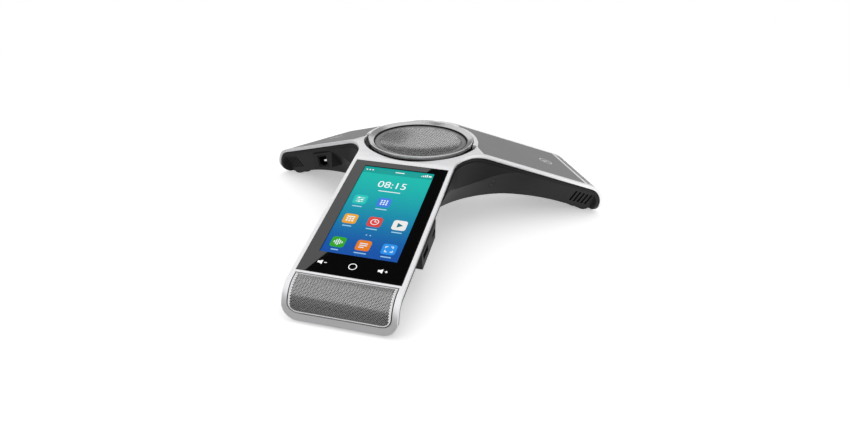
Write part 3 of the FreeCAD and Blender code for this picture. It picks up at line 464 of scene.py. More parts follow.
# %% [markdown]
# ## Perforated sheet
# The noses are steel sheet punched with six-sided holes and rolled over the end of each arm. One cell is
# drawn and copied along a row, and the row is copied down the sheet with every second row half a step to the
# side. Each cell is then inset and its middle thrown away: what is left is the web between the holes.

# %% One field of six-sided holes
HOLE_PITCH = 1.2
HOLE_WEB = 0.28


def everything(bm):
    return bm.verts[:] + bm.edges[:] + bm.faces[:]


def copy_aside(bm, geometry, step):
    """Copies geometry, moves the copy by a step and returns it."""
    copied = bmesh.ops.duplicate(bm, geom=geometry)["geom"]
    corners = [part for part in copied if isinstance(part, bmesh.types.BMVert)]
    bmesh.ops.translate(bm, vec=step, verts=corners)
    return copied


def hole_field(width, height, pitch=HOLE_PITCH):
    """Closed six-sided cells that cover a rectangle centred on the origin."""
    columns = math.ceil(width / pitch) + 2
    row_step = pitch * math.sqrt(3) / 2
    rows = math.ceil(height / row_step) + 2
    bm = bmesh.new()
    bmesh.ops.create_circle(bm, cap_ends=True, segments=6, radius=pitch / math.sqrt(3))
    cell = everything(bm)
    for column in range(1, columns):
        copy_aside(bm, cell, (column * pitch, 0, 0))
    row = everything(bm)
    for number in range(1, rows):
        copy_aside(bm, row, (pitch / 2 * (number % 2), number * row_step, 0))
    middle = Vector(((columns - 0.5) * pitch / 2, (rows - 1) * row_step / 2, 0))
    bmesh.ops.translate(bm, vec=-middle, verts=bm.verts)
    bmesh.ops.remove_doubles(bm, verts=bm.verts, dist=pitch * 0.02)
    return bm


def punch(bm, web=HOLE_WEB):
    """Leaves only the web between the cells."""
    cells = bm.faces[:]
    bmesh.ops.inset_individual(bm, faces=cells, thickness=web / 2)
    bmesh.ops.delete(bm, geom=cells, context="FACES")


def trim(bm, point, outwards):
    """Cuts away what lies beyond a straight line of the drawing."""
    bmesh.ops.bisect_plane(
        bm, geom=everything(bm), dist=0.0001, plane_co=point, plane_no=outwards, clear_outer=True)


trial = hole_field(10.0, 10.0)
print("cells in a centimetre square:", len(trial.faces))
trial.free()

# %% [markdown]
# ## The three nose grilles
# The punched field is trimmed to the sheet's outline, whose two lower corners are round. A plain border runs
# round it, as punching always leaves one. The flat drawing is then bent: down the ramp, round the nose and
# straight down to its foot. The outermost cells stay closed, so the border has teeth. A dark cloth behind the
# sheet keeps dust off the microphone, and a narrow gap is left between the border and the silver frame. The
# cloth reaches out under that gap, and its black there is painted shade.

# %% Roll the sheets over the noses
GRILLE_HALF = 40.2
GRILLE_CORNER = 8.0
GRILLE_GAP = 0.75
BORDER = 0.8
BEND_STEP = 0.8
TOOTH = 0.65
CORNER_CUTS = 7


def nose_lengths(arm):
    """Way down the ramp, round the nose and down its front, from the grille's upper edge."""
    values = ARMS[arm]
    slope = math.radians(values["slope"])
    bend_starts = values["reach"] - NOSE_RADIUS * (1 - math.sin(slope))
    on_ramp = (bend_starts - values["grille_start"]) / math.cos(slope)
    round_nose = NOSE_RADIUS * (math.pi / 2 - slope)
    centre_height = values["rise"] - NOSE_RADIUS * math.tan(math.pi / 4 - slope / 2)
    return on_ramp, round_nose, centre_height - GRILLE_FOOT, centre_height


def bend_over_nose(bm, arm):
    """Bends a drawing whose y is 0 at the grille's upper edge and falls along the sheet."""
    outwards, sideways, slope = directions(arm)
    on_ramp, round_nose, _, centre_height = nose_lengths(arm)
    reach = ARMS[arm]["reach"]
    for corner in bm.verts:
        across, way, lift = corner.co.x, -corner.co.y, corner.co.z
        turned = min(max(way - on_ramp, 0), round_nose)
        angle = slope + turned / NOSE_RADIUS
        out = reach - NOSE_RADIUS + (NOSE_RADIUS + lift) * math.sin(angle)
        height = centre_height + (NOSE_RADIUS + lift) * math.cos(angle)
        past = way - on_ramp - turned
        out += past * math.cos(angle)
        height -= past * math.sin(angle)
        corner.co = HUB + outwards * out + sideways * across + UPWARDS * height


def nose_outline(arm, inset, corner):
    """The sheet's outline as one flat face, set in from the seat's edge."""
    length = sum(nose_lengths(arm)[:3])
    bm = bmesh.new()
    bar(bm, 0, -length / 2, 2 * (GRILLE_HALF - inset), length - 2 * inset)
    soften(bm, [point for point in bm.verts if point.co.y < -length / 2], corner, CORNER_CUTS)
    return bm


def trim_to_border(bm, length, inset):
    """Cuts a field of cells to the inside of the sheet's plain border."""
    half = GRILLE_HALF - inset
    corner = GRILLE_CORNER - inset
    for side in (1, -1):
        trim(bm, (side * half, 0, 0), (side, 0, 0))
        for cut in range(1, CORNER_CUTS):
            angle = math.pi / 2 * cut / CORNER_CUTS
            slant = Vector((side * math.cos(angle), -math.sin(angle), 0))
            centre = Vector((side * (half - corner), inset + corner - length, 0))
            trim(bm, centre + slant * corner, slant)
    trim(bm, (0, -inset, 0), (0, 1, 0))
    trim(bm, (0, inset - length, 0), (0, -1, 0))


def keep_cells(bm, outer, limit):
    """Leaves only the cells whose middle lies outside, or only those inside, a half width."""
    unwanted = [cell for cell in bm.faces if (abs(cell.calc_center_median().x) > limit) != outer]
    bmesh.ops.delete(bm, geom=unwanted, context="FACES")


def score(bm, length):
    """Adds lines across the drawing, so that it can bend smoothly."""
    for number in range(1, int(length / BEND_STEP)):
        level = (0, -number * BEND_STEP, 0)
        bmesh.ops.bisect_plane(bm, geom=everything(bm), dist=0.0001, plane_co=level, plane_no=(0, 1, 0))


sheet_steel = satin_silver("punched steel", 0.15, tint(214, 214, 215), tint(238, 238, 238), 0.9)
border_silver = satin_silver("sheet border", 0.4, metallic=0.3)
grille_cloth = woven_cloth("grille cloth", tint(10, 10, 10), tint(34, 34, 34), 0.0005)
# The cloth reaches to CLOTH_GAP from the seat's edge, under the gap round the border, where its black is
# painted shade.
CLOTH_DEPTH = 0.75
CLOTH_THICKNESS = 0.35
CLOTH_GAP = 0.05
SHEET_THICKNESS = 0.5
for arm in ARMS:
    length = sum(nose_lengths(arm)[:3])
    inset = GRILLE_GAP + BORDER
    tooth_line = GRILLE_HALF - inset - TOOTH
    web = hole_field(2 * (GRILLE_HALF - inset), length - 2 * inset)
    bmesh.ops.translate(web, vec=(0, -length / 2, 0), verts=web.verts)
    teeth = web.copy()
    keep_cells(web, False, tooth_line)
    keep_cells(teeth, True, tooth_line)
    punch(web)
    trim_to_border(web, length, inset)
    trim_to_border(teeth, length, inset)
    border = nose_outline(arm, GRILLE_GAP, GRILLE_CORNER - GRILLE_GAP)
    inside = border.faces[:]
    bmesh.ops.inset_individual(border, faces=inside, thickness=BORDER)
    bmesh.ops.delete(border, geom=inside, context="FACES")
    score(border, length)
    cloth = nose_outline(arm, CLOTH_GAP, GRILLE_CORNER)
    score(cloth, length)
    bmesh.ops.translate(cloth, vec=(0, 0, -CLOTH_DEPTH), verts=cloth.verts)
    for drawing in (web, teeth, border, cloth):
        bend_over_nose(drawing, arm)
    mesh_piece = thicken(piece(arm + "_nose_mesh", web, sheet_steel), SHEET_THICKNESS)
    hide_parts(arm + "_nose_grille")
    thicken(piece(arm + "_nose_border", border, border_silver), SHEET_THICKNESS)
    thicken(piece(arm + "_nose_teeth", teeth, border_silver), SHEET_THICKNESS)
    thicken(piece(arm + "_nose_cloth_and_gap_shade", cloth, grille_cloth), CLOTH_THICKNESS)
    print(arm, "nose:", len(mesh_piece.data.polygons), "web faces, sheet", round(length, 1), "mm long")

# %% [markdown]
# ## The loudspeaker's dish
# The dish over the loudspeaker is pressed into a shallow bowl from a thinner sheet with larger holes. Cells
# whose middle lies beyond the bowl's edge are left out, so the holes end in an uneven line. A plain flange,
# turned round the hub's axis, carries the dish on its step.

# %% Press the dish
DISH_RADIUS = 39.2
DISH_DROP = 4.6
DISH_RIM_HEIGHT = 72.0
FLANGE_RADIUS = 42.5
DISH_PITCH = 1.6
DISH_WEB = 0.45
DISH_THICKNESS = 0.12
DISH_LIFT = -0.05
DISH_CLOTH_LIFT = -0.62
DISH_CLOTH_GAP = 0.4
DISH_CLOTH_SIDES = 96
DISH_CLOTH_RINGS = 8
DISH_CLOTH_RING = 4.5
DISH_CLOTH_THICKNESS = 0.2
FLANGE_THICKNESS = 0.5
FLANGE_LAP = 1.6
FLANGE_EDGE = 0.25
FLANGE_STEPS = 120
BOWL_RADIUS = (DISH_RADIUS ** 2 + DISH_DROP ** 2) / (2 * DISH_DROP)


def bowl_height(radius):
    return DISH_RIM_HEIGHT - DISH_DROP + BOWL_RADIUS - math.sqrt(BOWL_RADIUS ** 2 - radius ** 2)


def press_bowl(bm, lift):
    for point in bm.verts:
        radius = math.hypot(point.co.x, point.co.y)
        point.co = HUB + Vector((point.co.x, point.co.y, bowl_height(radius) + lift))


dish = hole_field(2 * DISH_RADIUS, 2 * DISH_RADIUS, DISH_PITCH)
beyond = [cell for cell in dish.faces if cell.calc_center_median().length > DISH_RADIUS - DISH_PITCH]
bmesh.ops.delete(dish, geom=beyond, context="FACES")
punch(dish, DISH_WEB)
press_bowl(dish, DISH_LIFT)
dish_steel = satin_silver("dish steel", 0.12, tint(226, 226, 227), tint(246, 246, 247), 1.0)
dish_piece = thicken(piece("speaker_dish_mesh", dish, dish_steel), DISH_THICKNESS)
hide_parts("speaker_grille")

dish_cloth = bmesh.new()
cloth_radius = DISH_RADIUS - DISH_CLOTH_GAP
bmesh.ops.create_circle(dish_cloth, cap_ends=True, segments=DISH_CLOTH_SIDES, radius=cloth_radius)
rings = dish_cloth.faces[:]
for _ in range(DISH_CLOTH_RINGS):
    bmesh.ops.inset_individual(dish_cloth, faces=rings, thickness=DISH_CLOTH_RING)
press_bowl(dish_cloth, DISH_CLOTH_LIFT)
thicken(piece("speaker_dish_cloth", dish_cloth, grille_cloth), DISH_CLOTH_THICKNESS)

flange = bmesh.new()
lap_radius = DISH_RADIUS - FLANGE_LAP
profile = [(lap_radius, bowl_height(lap_radius) - DISH_THICKNESS),
           (DISH_RADIUS - 0.2, DISH_RIM_HEIGHT - 0.08), (DISH_RADIUS + 0.5, DISH_RIM_HEIGHT),
           (FLANGE_RADIUS - FLANGE_EDGE, DISH_RIM_HEIGHT), (FLANGE_RADIUS, DISH_RIM_HEIGHT - FLANGE_EDGE)]
points = [flange.verts.new((radius, 0, height)) for radius, height in profile]
edges = [flange.edges.new(pair) for pair in zip(points, points[1:])]
bmesh.ops.spin(
    flange, geom=points + edges, cent=(0, 0, 0), axis=(0, 0, 1), angle=2 * math.pi, steps=FLANGE_STEPS,
    use_merge=True)
bmesh.ops.remove_doubles(flange, verts=flange.verts, dist=0.001)
bmesh.ops.recalc_face_normals(flange, faces=flange.faces)
if sum(face.normal.z for face in flange.faces) < 0:
    bmesh.ops.reverse_faces(flange, faces=flange.faces)
for face in flange.faces:
    face.smooth = True
bmesh.ops.translate(flange, vec=HUB, verts=flange.verts)
flange_grey = satin_silver("flange steel", 0.3, tint(120, 120, 121), tint(150, 150, 151))
thicken(piece("speaker_dish_flange", flange, flange_grey), FLANGE_THICKNESS)
print("dish cells:", len(dish_piece.data.polygons) // 6)

# %% [markdown]
# ## Cover glass and its black print
# The front arm is covered by one sheet of hard glass. Its back is printed black, all but a window for the
# screen. The finish is one glossy black that a mask makes clear over the screen, so the screen stays sharp
# and the slanted reflection stays on the black. A black sheet with a cut window lies behind it.

# %% Glass and print
GLASS_START = 58.1
GLASS_END = 192.5
GLASS_HALF = 41.2
GLASS_CORNER = 1.2
GLASS_THICKNESS = 0.75
GLASS_EDGE = 0.25
GLASS_GLOSS = 0.9
FIT_GAP = 0.05
PRINT_DEPTH = 0.8
PRINT_THICKNESS = 1.15
front_fall = math.cos(math.radians(ARMS["front"]["slope"]))
GLASS_LENGTH = (GLASS_END - GLASS_START) / front_fall
GLASS_MIDDLE = (GLASS_START + GLASS_END) / 2
SCREEN_MIDDLE = 117.55
SCREEN_SIDE = -0.2
SCREEN_WIDTH = 62.1
SCREEN_HEIGHT = 110.4


def rounded_sheet(width, height, corner, steps=5):
    """A flat rectangle with round corners, centred on the origin."""
    bm = bmesh.new()
    bar(bm, 0, 0, width, height)
    soften(bm, bm.verts[:], corner, steps)
    return bm


def cover_glass():
    """Glass with a black back, which is clear over the screen."""
    finish = Finish("printed cover glass", {"Specular IOR Level": GLASS_GLOSS})
    smears = finish.noise(0.012, 4.0, 0.7)
    finish.feed("Base Color", smears.mix(tint(4, 4, 5), tint(9, 9, 10)))
    finish.feed("Roughness", 0.008 + smears * smears * 0.03)
    across = finish.place.node("ShaderNodeSeparateXYZ", {}, {0: finish.place}, "X")
    along = finish.place.node("ShaderNodeSeparateXYZ", {}, {0: finish.place}, "Y")
    screen_y = (HUB.y - SCREEN_MIDDLE) * MM
    from_side = across.sum("ABSOLUTE", across - SCREEN_SIDE * MM, 0.0)
    from_middle = along.sum("ABSOLUTE", along - screen_y, 0.0)
    beside = from_side > SCREEN_WIDTH * MM / 2
    beyond = from_middle > SCREEN_HEIGHT * front_fall * MM / 2
    printed = beside.sum("MAXIMUM", beside, beyond)
    clear = finish.place.node("ShaderNodeBsdfTransparent")
    shiny = Wire(finish.tree, finish.shader.outputs[0])
    both = finish.place.node("ShaderNodeMixShader", {}, {0: printed, 1: clear, 2: shiny})
    surface = finish.tree.nodes["Material Output"].inputs["Surface"]
    finish.tree.links.new(both.socket, surface)
    return finish.material


def black_ink():
    finish = Finish("black glass print", {"Specular IOR Level": 0.0})
    screen_print = finish.cells(0.0002)
    finish.feed("Base Color", screen_print.mix(tint(4, 4, 5), tint(9, 9, 10)))
    finish.feed("Roughness", 0.6 + screen_print * 0.2)
    return finish.material


# The white key print glows by its own emission: a painted glow, since the ink is no lamp.
def white_ink_with_painted_glow():
    finish = Finish("white key print with painted glow", {"Emission Strength": 0.55, "Specular IOR Level": 0.1})
    screen_print = finish.cells(0.0002)
    ink = screen_print.mix(tint(246, 246, 246), tint(228, 228, 230))
    finish.feed("Base Color", ink)
    finish.feed("Emission Color", ink)
    finish.feed("Roughness", 0.5 + screen_print * 0.2)
    return finish.material


glass = rounded_sheet(2 * (GLASS_HALF - FIT_GAP), GLASS_LENGTH - 2 * FIT_GAP, GLASS_CORNER)
glass_piece = piece("cover_glass_sheet", glass, cover_glass(), ramp("front", GLASS_MIDDLE))
round_edges(thicken(glass_piece, GLASS_THICKNESS), GLASS_EDGE, 3)
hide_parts("touch_glass")

window_shift = (GLASS_MIDDLE - SCREEN_MIDDLE) / front_fall
ink_sheet = rounded_sheet(2 * (GLASS_HALF - FIT_GAP), GLASS_LENGTH - 2 * FIT_GAP, GLASS_CORNER)
for side in (1, -1):
    edge_x = (SCREEN_SIDE + side * SCREEN_WIDTH / 2, 0, 0)
    edge_y = (0, window_shift + side * SCREEN_HEIGHT / 2, 0)
    bmesh.ops.bisect_plane(ink_sheet, geom=everything(ink_sheet), plane_co=edge_x, plane_no=(1, 0, 0))
    bmesh.ops.bisect_plane(ink_sheet, geom=everything(ink_sheet), plane_co=edge_y, plane_no=(0, 1, 0))
window = [face for face in ink_sheet.faces
          if abs(face.calc_center_median().x - SCREEN_SIDE) < SCREEN_WIDTH / 2
          and abs(face.calc_center_median().y - window_shift) < SCREEN_HEIGHT / 2]
bmesh.ops.delete(ink_sheet, geom=window, context="FACES")
ink_piece = piece("glass_black_print", ink_sheet, black_ink(),
                  ramp("front", GLASS_MIDDLE, 0, -PRINT_DEPTH))
thicken(ink_piece, PRINT_THICKNESS)
print("glass:", round(GLASS_LENGTH, 1), "mm, window faces cut:", len(window))

# %% [markdown]
# ## Stencils
# The marks on keys and tiles are drawn with a few stencils: the bar from above, a disc, a ring and a
# loudspeaker. Each adds its shape to a drawing at a place, as a template is laid on paper. The three touch
# keys come first: a ring, and a loudspeaker with a minus or a plus, in white ink on the black glass.

# %% Stencils and touch keys
DISC_SIDES = 28


def disc(bm, x, y, radius, sides=DISC_SIDES, turn=0.0):
    bmesh.ops.create_circle(bm, cap_ends=True, segments=sides, radius=radius, matrix=lay(x, y, turn))


def ring(bm, x, y, radius, line, sides=DISC_SIDES):
    drawn = len(bm.faces)
    disc(bm, x, y, radius, sides)
    bm.faces.ensure_lookup_table()
    middle = bm.faces[drawn:]
    bmesh.ops.inset_individual(bm, faces=middle, thickness=line)
    bmesh.ops.delete(bm, geom=middle, context="FACES")


def loudspeaker(bm, x, y, size):
    """A block with a horn: the common mark for loudness."""
    bar(bm, x - size * 0.55, y, size * 0.45, size * 0.6)
    drawn = len(bm.verts)
    bar(bm, x, y, size * 0.62, size * 1.3)
    bm.verts.ensure_lookup_table()
    narrow = [point for point in bm.verts[drawn:] if point.co.x < x]
    bmesh.ops.scale(bm, vec=(1, 0.46, 1), verts=narrow, space=Matrix.Translation((0, -y, 0)))


KEY_ALONG = 181.6
KEY_SIZE = 3.4
KEY_LIFT = 0.02
KEY_INK = 0.015
KEY_RING = 3.3
RING_LINE = 0.62
RING_SIDES = 40
QUIETER_X = -25.2
MINUS_X = -21.6
LOUDER_X = 22.4
PLUS_X = 26.2
SIGN_LENGTH = 2.2
SIGN_LINE = 0.6
keys = bmesh.new()
ring(keys, 0, 0, KEY_RING, RING_LINE, RING_SIDES)
loudspeaker(keys, QUIETER_X, 0, KEY_SIZE)
bar(keys, MINUS_X, 0, SIGN_LENGTH, SIGN_LINE)
loudspeaker(keys, LOUDER_X, 0, KEY_SIZE)
bar(keys, PLUS_X, 0, SIGN_LENGTH, SIGN_LINE)
bar(keys, PLUS_X, 0, SIGN_LINE, SIGN_LENGTH)
key_piece = piece("touch_key_marks", keys, white_ink_with_painted_glow(),
                  ramp("front", KEY_ALONG, SCREEN_SIDE, KEY_LIFT))
thicken(key_piece, KEY_INK)
print("key mark faces:", len(key_piece.data.polygons))

# %% [markdown]
# ## The lit screen
# The screen is a light of its own: a picture that fades from teal at the top to blue at the bottom, with a
# darker strip for small signs, a clock and rows of round-cornered tiles. The pictures on the tiles are plain
# stencils of no maker, and the words below them are only bars, because nothing here has to be read.

# %% Screen, tiles and clock
SCREEN_DEPTH = 0.87
SCREEN_BRIGHTNESS = 1.0
SCREEN_GAP = 0.02
PICTURE_THICKNESS = 1.05
STRIP_HEIGHT = 8.4
LAYER = 0.02
PIXEL = 0.00023


def lit(name, low, high, strength=SCREEN_BRIGHTNESS):
    """Glowing picture that fades down the ramp and shows fine rows of pixels."""
    finish = Finish(name, {"Base Color": (0.002, 0.002, 0.002, 1), "Roughness": 0.45,
                           "Specular IOR Level": 0.1, "Emission Strength": strength})
    parts = finish.place.node("ShaderNodeSeparateXYZ", {}, {0: finish.place}, "Y")
    top_y = (HUB.y - SCREEN_MIDDLE + SCREEN_HEIGHT * front_fall / 2) * MM
    fall = parts.node(
        "ShaderNodeMapRange", {"interpolation_type": "SMOOTHSTEP"},
        {"Value": parts, "From Min": top_y - SCREEN_HEIGHT * front_fall * MM, "From Max": top_y})
    rows = parts.sum("SINE", parts * (2 * math.pi / PIXEL), 0.0) * 0.04
    finish.feed("Emission Color", (fall + rows).mix(low, high))
    return finish.material


def screen_piece(name, bm, finish, layer):
    """Lays a drawing on the screen, some layers above the picture."""
    place = ramp("front", SCREEN_MIDDLE, SCREEN_SIDE, layer * LAYER - SCREEN_DEPTH)
    return thicken(piece(name, bm, finish, place), LAYER * 0.7)


picture = bmesh.new()
bar(picture, 0, 0, SCREEN_WIDTH - SCREEN_GAP, SCREEN_HEIGHT - SCREEN_GAP)
screen_fade = lit("screen fade", tint(1, 76, 165), tint(10, 186, 172))
picture_place = ramp("front", SCREEN_MIDDLE, SCREEN_SIDE, -SCREEN_DEPTH)
thicken(piece("screen_picture", picture, screen_fade, picture_place), PICTURE_THICKNESS)

strip_level = SCREEN_HEIGHT / 2 - STRIP_HEIGHT / 2
strip = bmesh.new()
bar(strip, 0, strip_level, SCREEN_WIDTH - 2 * SCREEN_GAP, STRIP_HEIGHT)
screen_piece("screen_strip", strip, lit("strip teal", tint(3, 130, 132), tint(6, 158, 150)), 1)

white_light = lit("screen white", tint(225, 236, 246), tint(246, 252, 252))
signs = bmesh.new()
for spot in range(3):
    disc(signs, -28 + spot * 2.6, strip_level, 0.75, 12)
bar(signs, 1.5, strip_level, 8, 1.1)
for step in range(4):
    bar(signs, 21 + step * 1.5, strip_level - 0.7 + step * 0.35, 0.9, 1.2 + step * 0.7)
bar(signs, 28, strip_level, 2.4, 1.8)
screen_piece("screen_signs", signs, white_light, 2)

CLOCK_SIZE = 11.5
CLOCK_LEVEL = 33
DATE_LEVEL = 24.6
clock_text = bpy.data.curves.new("screen clock", "FONT")
clock_text.body = "08:15"
clock_text.size = CLOCK_SIZE
clock_text.align_x = "CENTER"
clock_text.align_y = "CENTER"
clock_drawing = add_object("screen clock", clock_text)
bpy.context.view_layer.update()
drawn_clock = clock_drawing.evaluated_get(bpy.context.evaluated_depsgraph_get())
clock_mesh = bpy.data.meshes.new_from_object(drawn_clock)
bpy.data.objects.remove(clock_drawing)
clock = bmesh.new()
clock.from_mesh(clock_mesh)
bmesh.ops.translate(clock, vec=(0, CLOCK_LEVEL, 0), verts=clock.verts)
bar(clock, 0, DATE_LEVEL, 19, 0.9)
screen_piece("screen_clock", clock, white_light, 2)

TILE = 11.6
TILE_CORNER = 2.4
TILE_COLUMNS = (-20.6, 0.0, 20.6)
TILE_ROWS = (10.5, -14.0, -42.0)
TILES = {
    "teal": (0, 0, tint(10, 150, 150), tint(40, 214, 200)),
    "blue": (1, 0, tint(30, 90, 200), tint(70, 140, 235)),
    "amber": (0, 1, tint(226, 150, 20), tint(250, 190, 60)),
    "red": (1, 1, tint(206, 50, 46), tint(240, 90, 80)),
    "white": (2, 1, tint(226, 226, 224), tint(250, 250, 248)),
    "green": (0, 2, tint(40, 160, 20), tint(90, 220, 60)),
    "orange": (1, 2, tint(228, 120, 10), tint(250, 160, 50)),
    "sky": (2, 2, tint(30, 140, 230), tint(80, 190, 250)),
}


def sliders(bm, x, y):
    for number, knob in enumerate((-1.6, 1.4, -0.4)):
        level = y + 2.4 - 2.4 * number
        bar(bm, x, level, 6.6, 0.55)
        disc(bm, x + knob, level, 0.95, 16)


def dots(bm, x, y):
    for column in (-2.3, 0, 2.3):
        for row in (-2.3, 0, 2.3):
            disc(bm, x + column, y + row, 0.8, 14)


def calendar(bm, x, y):
    bar(bm, x, y + 2.6, 6.8, 1.4)
    for column in (-2.4, 0, 2.4):
        for row in (-2.2, 0.2):
            bar(bm, x + column, y + row, 1.6, 1.6)


def dial(bm, x, y):
    ring(bm, x, y, 3.5, 0.7, 32)
    bar(bm, x, y + 1.1, 0.7, 2.4)
    bar(bm, x + 0.9, y, 2.2, 0.7)


def triangle(bm, x, y):
    disc(bm, x - 0.3, y, 3.2, 3, 30)


def waves(bm, x, y):
    for number, height in enumerate((2.4, 5.2, 7.0, 4.2, 2.0)):
        bar(bm, x - 3.2 + 1.6 * number, y, 0.85, height)


def pages(bm, x, y):
    bar(bm, x - 0.2, y + 2.2, 6.4, 1.0)
    bar(bm, x - 0.2, y, 6.4, 1.0)
    bar(bm, x - 1.3, y - 2.2, 4.2, 1.0)


def corners(bm, x, y):
    for turn in (0, 90, 180, 270):
        spun = Matrix.Rotation(math.radians(turn), 2)
        for offset, size in (((2.0, 3.1), (2.2, 0.8)), ((2.7, 2.4), (0.8, 2.2))):
            spot = spun @ Vector(offset)
            bar(bm, x + spot.x, y + spot.y, size[0], size[1], turn)


STENCILS = {"teal": sliders, "blue": dots, "amber": calendar, "red": dial, "white": triangle,
            "green": waves, "orange": pages, "sky": corners}
LABEL_LENGTHS = {"teal": 8.0, "blue": 9.5, "amber": 7.5, "red": 9.0, "white": 8.5,
                 "green": 6.0, "orange": 9.8, "sky": 8.2}
LABEL_DROP = 8.6
LABEL_LINE = 1.1
PAGE_DOTS_LEVEL = -30.0
glyphs = bmesh.new()
dark_glyphs = bmesh.new()
labels = bmesh.new()
for colour, (column, row, low, high) in TILES.items():
    x, y = TILE_COLUMNS[column], TILE_ROWS[row]
    tile = rounded_sheet(TILE, TILE, TILE_CORNER)
    bmesh.ops.translate(tile, vec=(x, y, 0), verts=tile.verts)
    screen_piece("screen_tile_" + colour, tile, lit(colour + " tile", low, high), 2)
    STENCILS[colour](dark_glyphs if colour == "white" else glyphs, x, y)
    bar(labels, x, y - LABEL_DROP, LABEL_LENGTHS[colour], LABEL_LINE)
for spot in (-1.6, 1.6):
    disc(labels, spot, PAGE_DOTS_LEVEL, 0.65, 12)
screen_piece("screen_tile_marks", glyphs, white_light, 3)
screen_piece("screen_dark_mark", dark_glyphs, lit("mark teal", tint(4, 96, 120), tint(12, 130, 140)), 3)
screen_piece("screen_labels", labels, lit("label light", tint(150, 200, 235), tint(190, 236, 236)), 2)
print("tiles:", len(TILES))

# %% [markdown]
# ## Contact block of the network socket
# Deep in the network socket sits a small block that carries its eight contacts. Its pale colour is a painted
# highlight: it puts a bright spot into the dark opening.

# %% Mould the contact block
CONTACT_ALONG = 95.5
CONTACT_SIDE = 39.6
CONTACT_DEPTH = 16.5
CONTACT_SIZE = Vector((6.0, 5.3, 1.8))
CONTACT_EDGE = 0.25
# Pale nylon: a painted highlight in the dark opening of the socket.
nylon_painted_highlight = grained_plastic("contact nylon painted highlight", tint(226, 226, 222), tint(246, 246, 243), 0.45, 0.0005, 0.00002)
contact = bmesh.new()
bmesh.ops.create_cube(contact, size=1.0)
bmesh.ops.scale(contact, vec=CONTACT_SIZE, verts=contact.verts)
soften(contact, contact.edges[:], CONTACT_EDGE, 2, "EDGES")
contact_place = ramp("left", CONTACT_ALONG, CONTACT_SIDE, -CONTACT_DEPTH)
piece("jack_contact_block", contact, nylon_painted_highlight, contact_place)
print("contact block:", tuple(round(side, 1) for side in CONTACT_SIZE), "mm")

# %% [markdown]
# ## Mute marks
# Each rear cover has a touch place for muting the microphones: a pale printed ring with a crossed capsule in
# it. Pad printing leaves ink about as thick as a hair, and its edges are slightly uneven.

# %% Print the mute marks
MUTE_ALONG = 127.0
MUTE_RADIUS = 6.7
MUTE_LINE = 0.9
INK_LIFT = 0.03
INK_THICKNESS = 0.02


def mute_ink():
    finish = Finish("mute ink", {"Specular IOR Level": 0.3})
    wear = finish.noise(0.0008, 3.0, 0.6)
    finish.feed("Base Color", wear.mix(tint(222, 222, 223), tint(250, 250, 250)))
    finish.feed("Roughness", 0.45 + wear * 0.2)
    finish.relief(wear, 0.00001)
    return finish.material


pale_ink = mute_ink()
for arm in ("right", "left"):
    mark = bmesh.new()
    ring(mark, 0, 0, MUTE_RADIUS, MUTE_LINE, 48)
    bar(mark, 0, 1.2, 2.2, 3.0)
    disc(mark, 0, 2.7, 1.1, 20)
    disc(mark, 0, -0.3, 1.1, 20)
    bar(mark, 0, -2.9, 0.6, 1.6)
    bar(mark, 0, -3.7, 2.8, 0.6)
    bar(mark, 0, 0, 0.7, 8.6, 45)
    mute_piece = piece(arm + "_mute_mark", mark, pale_ink, ramp(arm, MUTE_ALONG, 0, INK_LIFT))
    thicken(mute_piece, INK_THICKNESS)
    print(arm, "mute mark:", len(mute_piece.data.polygons), "faces")

# %% [markdown]
# ## Floor and light
# The telephone stands on a white table in a white tent. The world is plain white wherever a camera or a
# mirror looks at it, and weaker where it lights the table, so that the shade under the arms stays. One wide
# lamp hangs overhead, and no reflection shows it.

# %% Floor, world and lamp
FLOOR_HALF = 2.0
FADE_START = 0.4
FADE_END = 0.9
TABLE_GLOW = 0.42
TENT_LIGHT = 0.6
LAMP_PLACE = Vector((-0.1, -0.1, 1.4))
LAMP_SIZE = 1.6
LAMP_WATTS = 5.0

table = bmesh.new()
bmesh.ops.create_grid(table, x_segments=1, y_segments=1, size=FLOOR_HALF)
floor_finish = Finish("white table", {"Specular IOR Level": 0.1, "Roughness": 0.8,
                                      "Emission Strength": TABLE_GLOW, "Emission Color": (1, 1, 1, 1)})
table_clouds = floor_finish.noise(0.4, 2.0)
floor_finish.feed("Base Color", table_clouds.mix(tint(249, 249, 249), tint(252, 252, 252)))
from_middle = floor_finish.place.node(
    "ShaderNodeVectorMath", {"operation": "LENGTH"}, {0: floor_finish.place}, "Value")
floor_finish.feed("Alpha", from_middle.node(
    "ShaderNodeMapRange", {"interpolation_type": "SMOOTHSTEP"},
    {"Value": from_middle, "From Min": FADE_START, "From Max": FADE_END, "To Min": 1.0, "To Max": 0.0}))
floor = drawn_object("floor", table, floor_finish.material)

world = bpy.data.worlds.new("white tent")
bpy.context.scene.world = world
world.use_nodes = True
tent = Wire(world.node_tree)
path = tent.node("ShaderNodeLightPath", output="Is Camera Ray")
rays = path.socket.node.outputs
seen = path + Wire(path.tree, rays["Is Glossy Ray"]) + Wire(path.tree, rays["Is Transmission Ray"])
seen = seen.sum("MINIMUM", seen, 1.0)
background = world.node_tree.nodes["Background"]
background.inputs["Color"].default_value = (1, 1, 1, 1)
world.node_tree.links.new((seen * (1 - TENT_LIGHT) + TENT_LIGHT).socket, background.inputs["Strength"])

lamp = bpy.data.lights.new("overhead lamp", "AREA")
lamp.size = LAMP_SIZE
lamp.energy = LAMP_WATTS
overhead = add_object("overhead lamp", lamp)
lamp_turn = (-LAMP_PLACE).to_track_quat("-Z", "Y").to_matrix().to_4x4()
overhead.matrix_world = Matrix.Translation(LAMP_PLACE) @ lamp_turn
overhead.visible_glossy = False
overhead.visible_transmission = False
print("table glow:", TABLE_GLOW, "lamp:", LAMP_WATTS, "W")

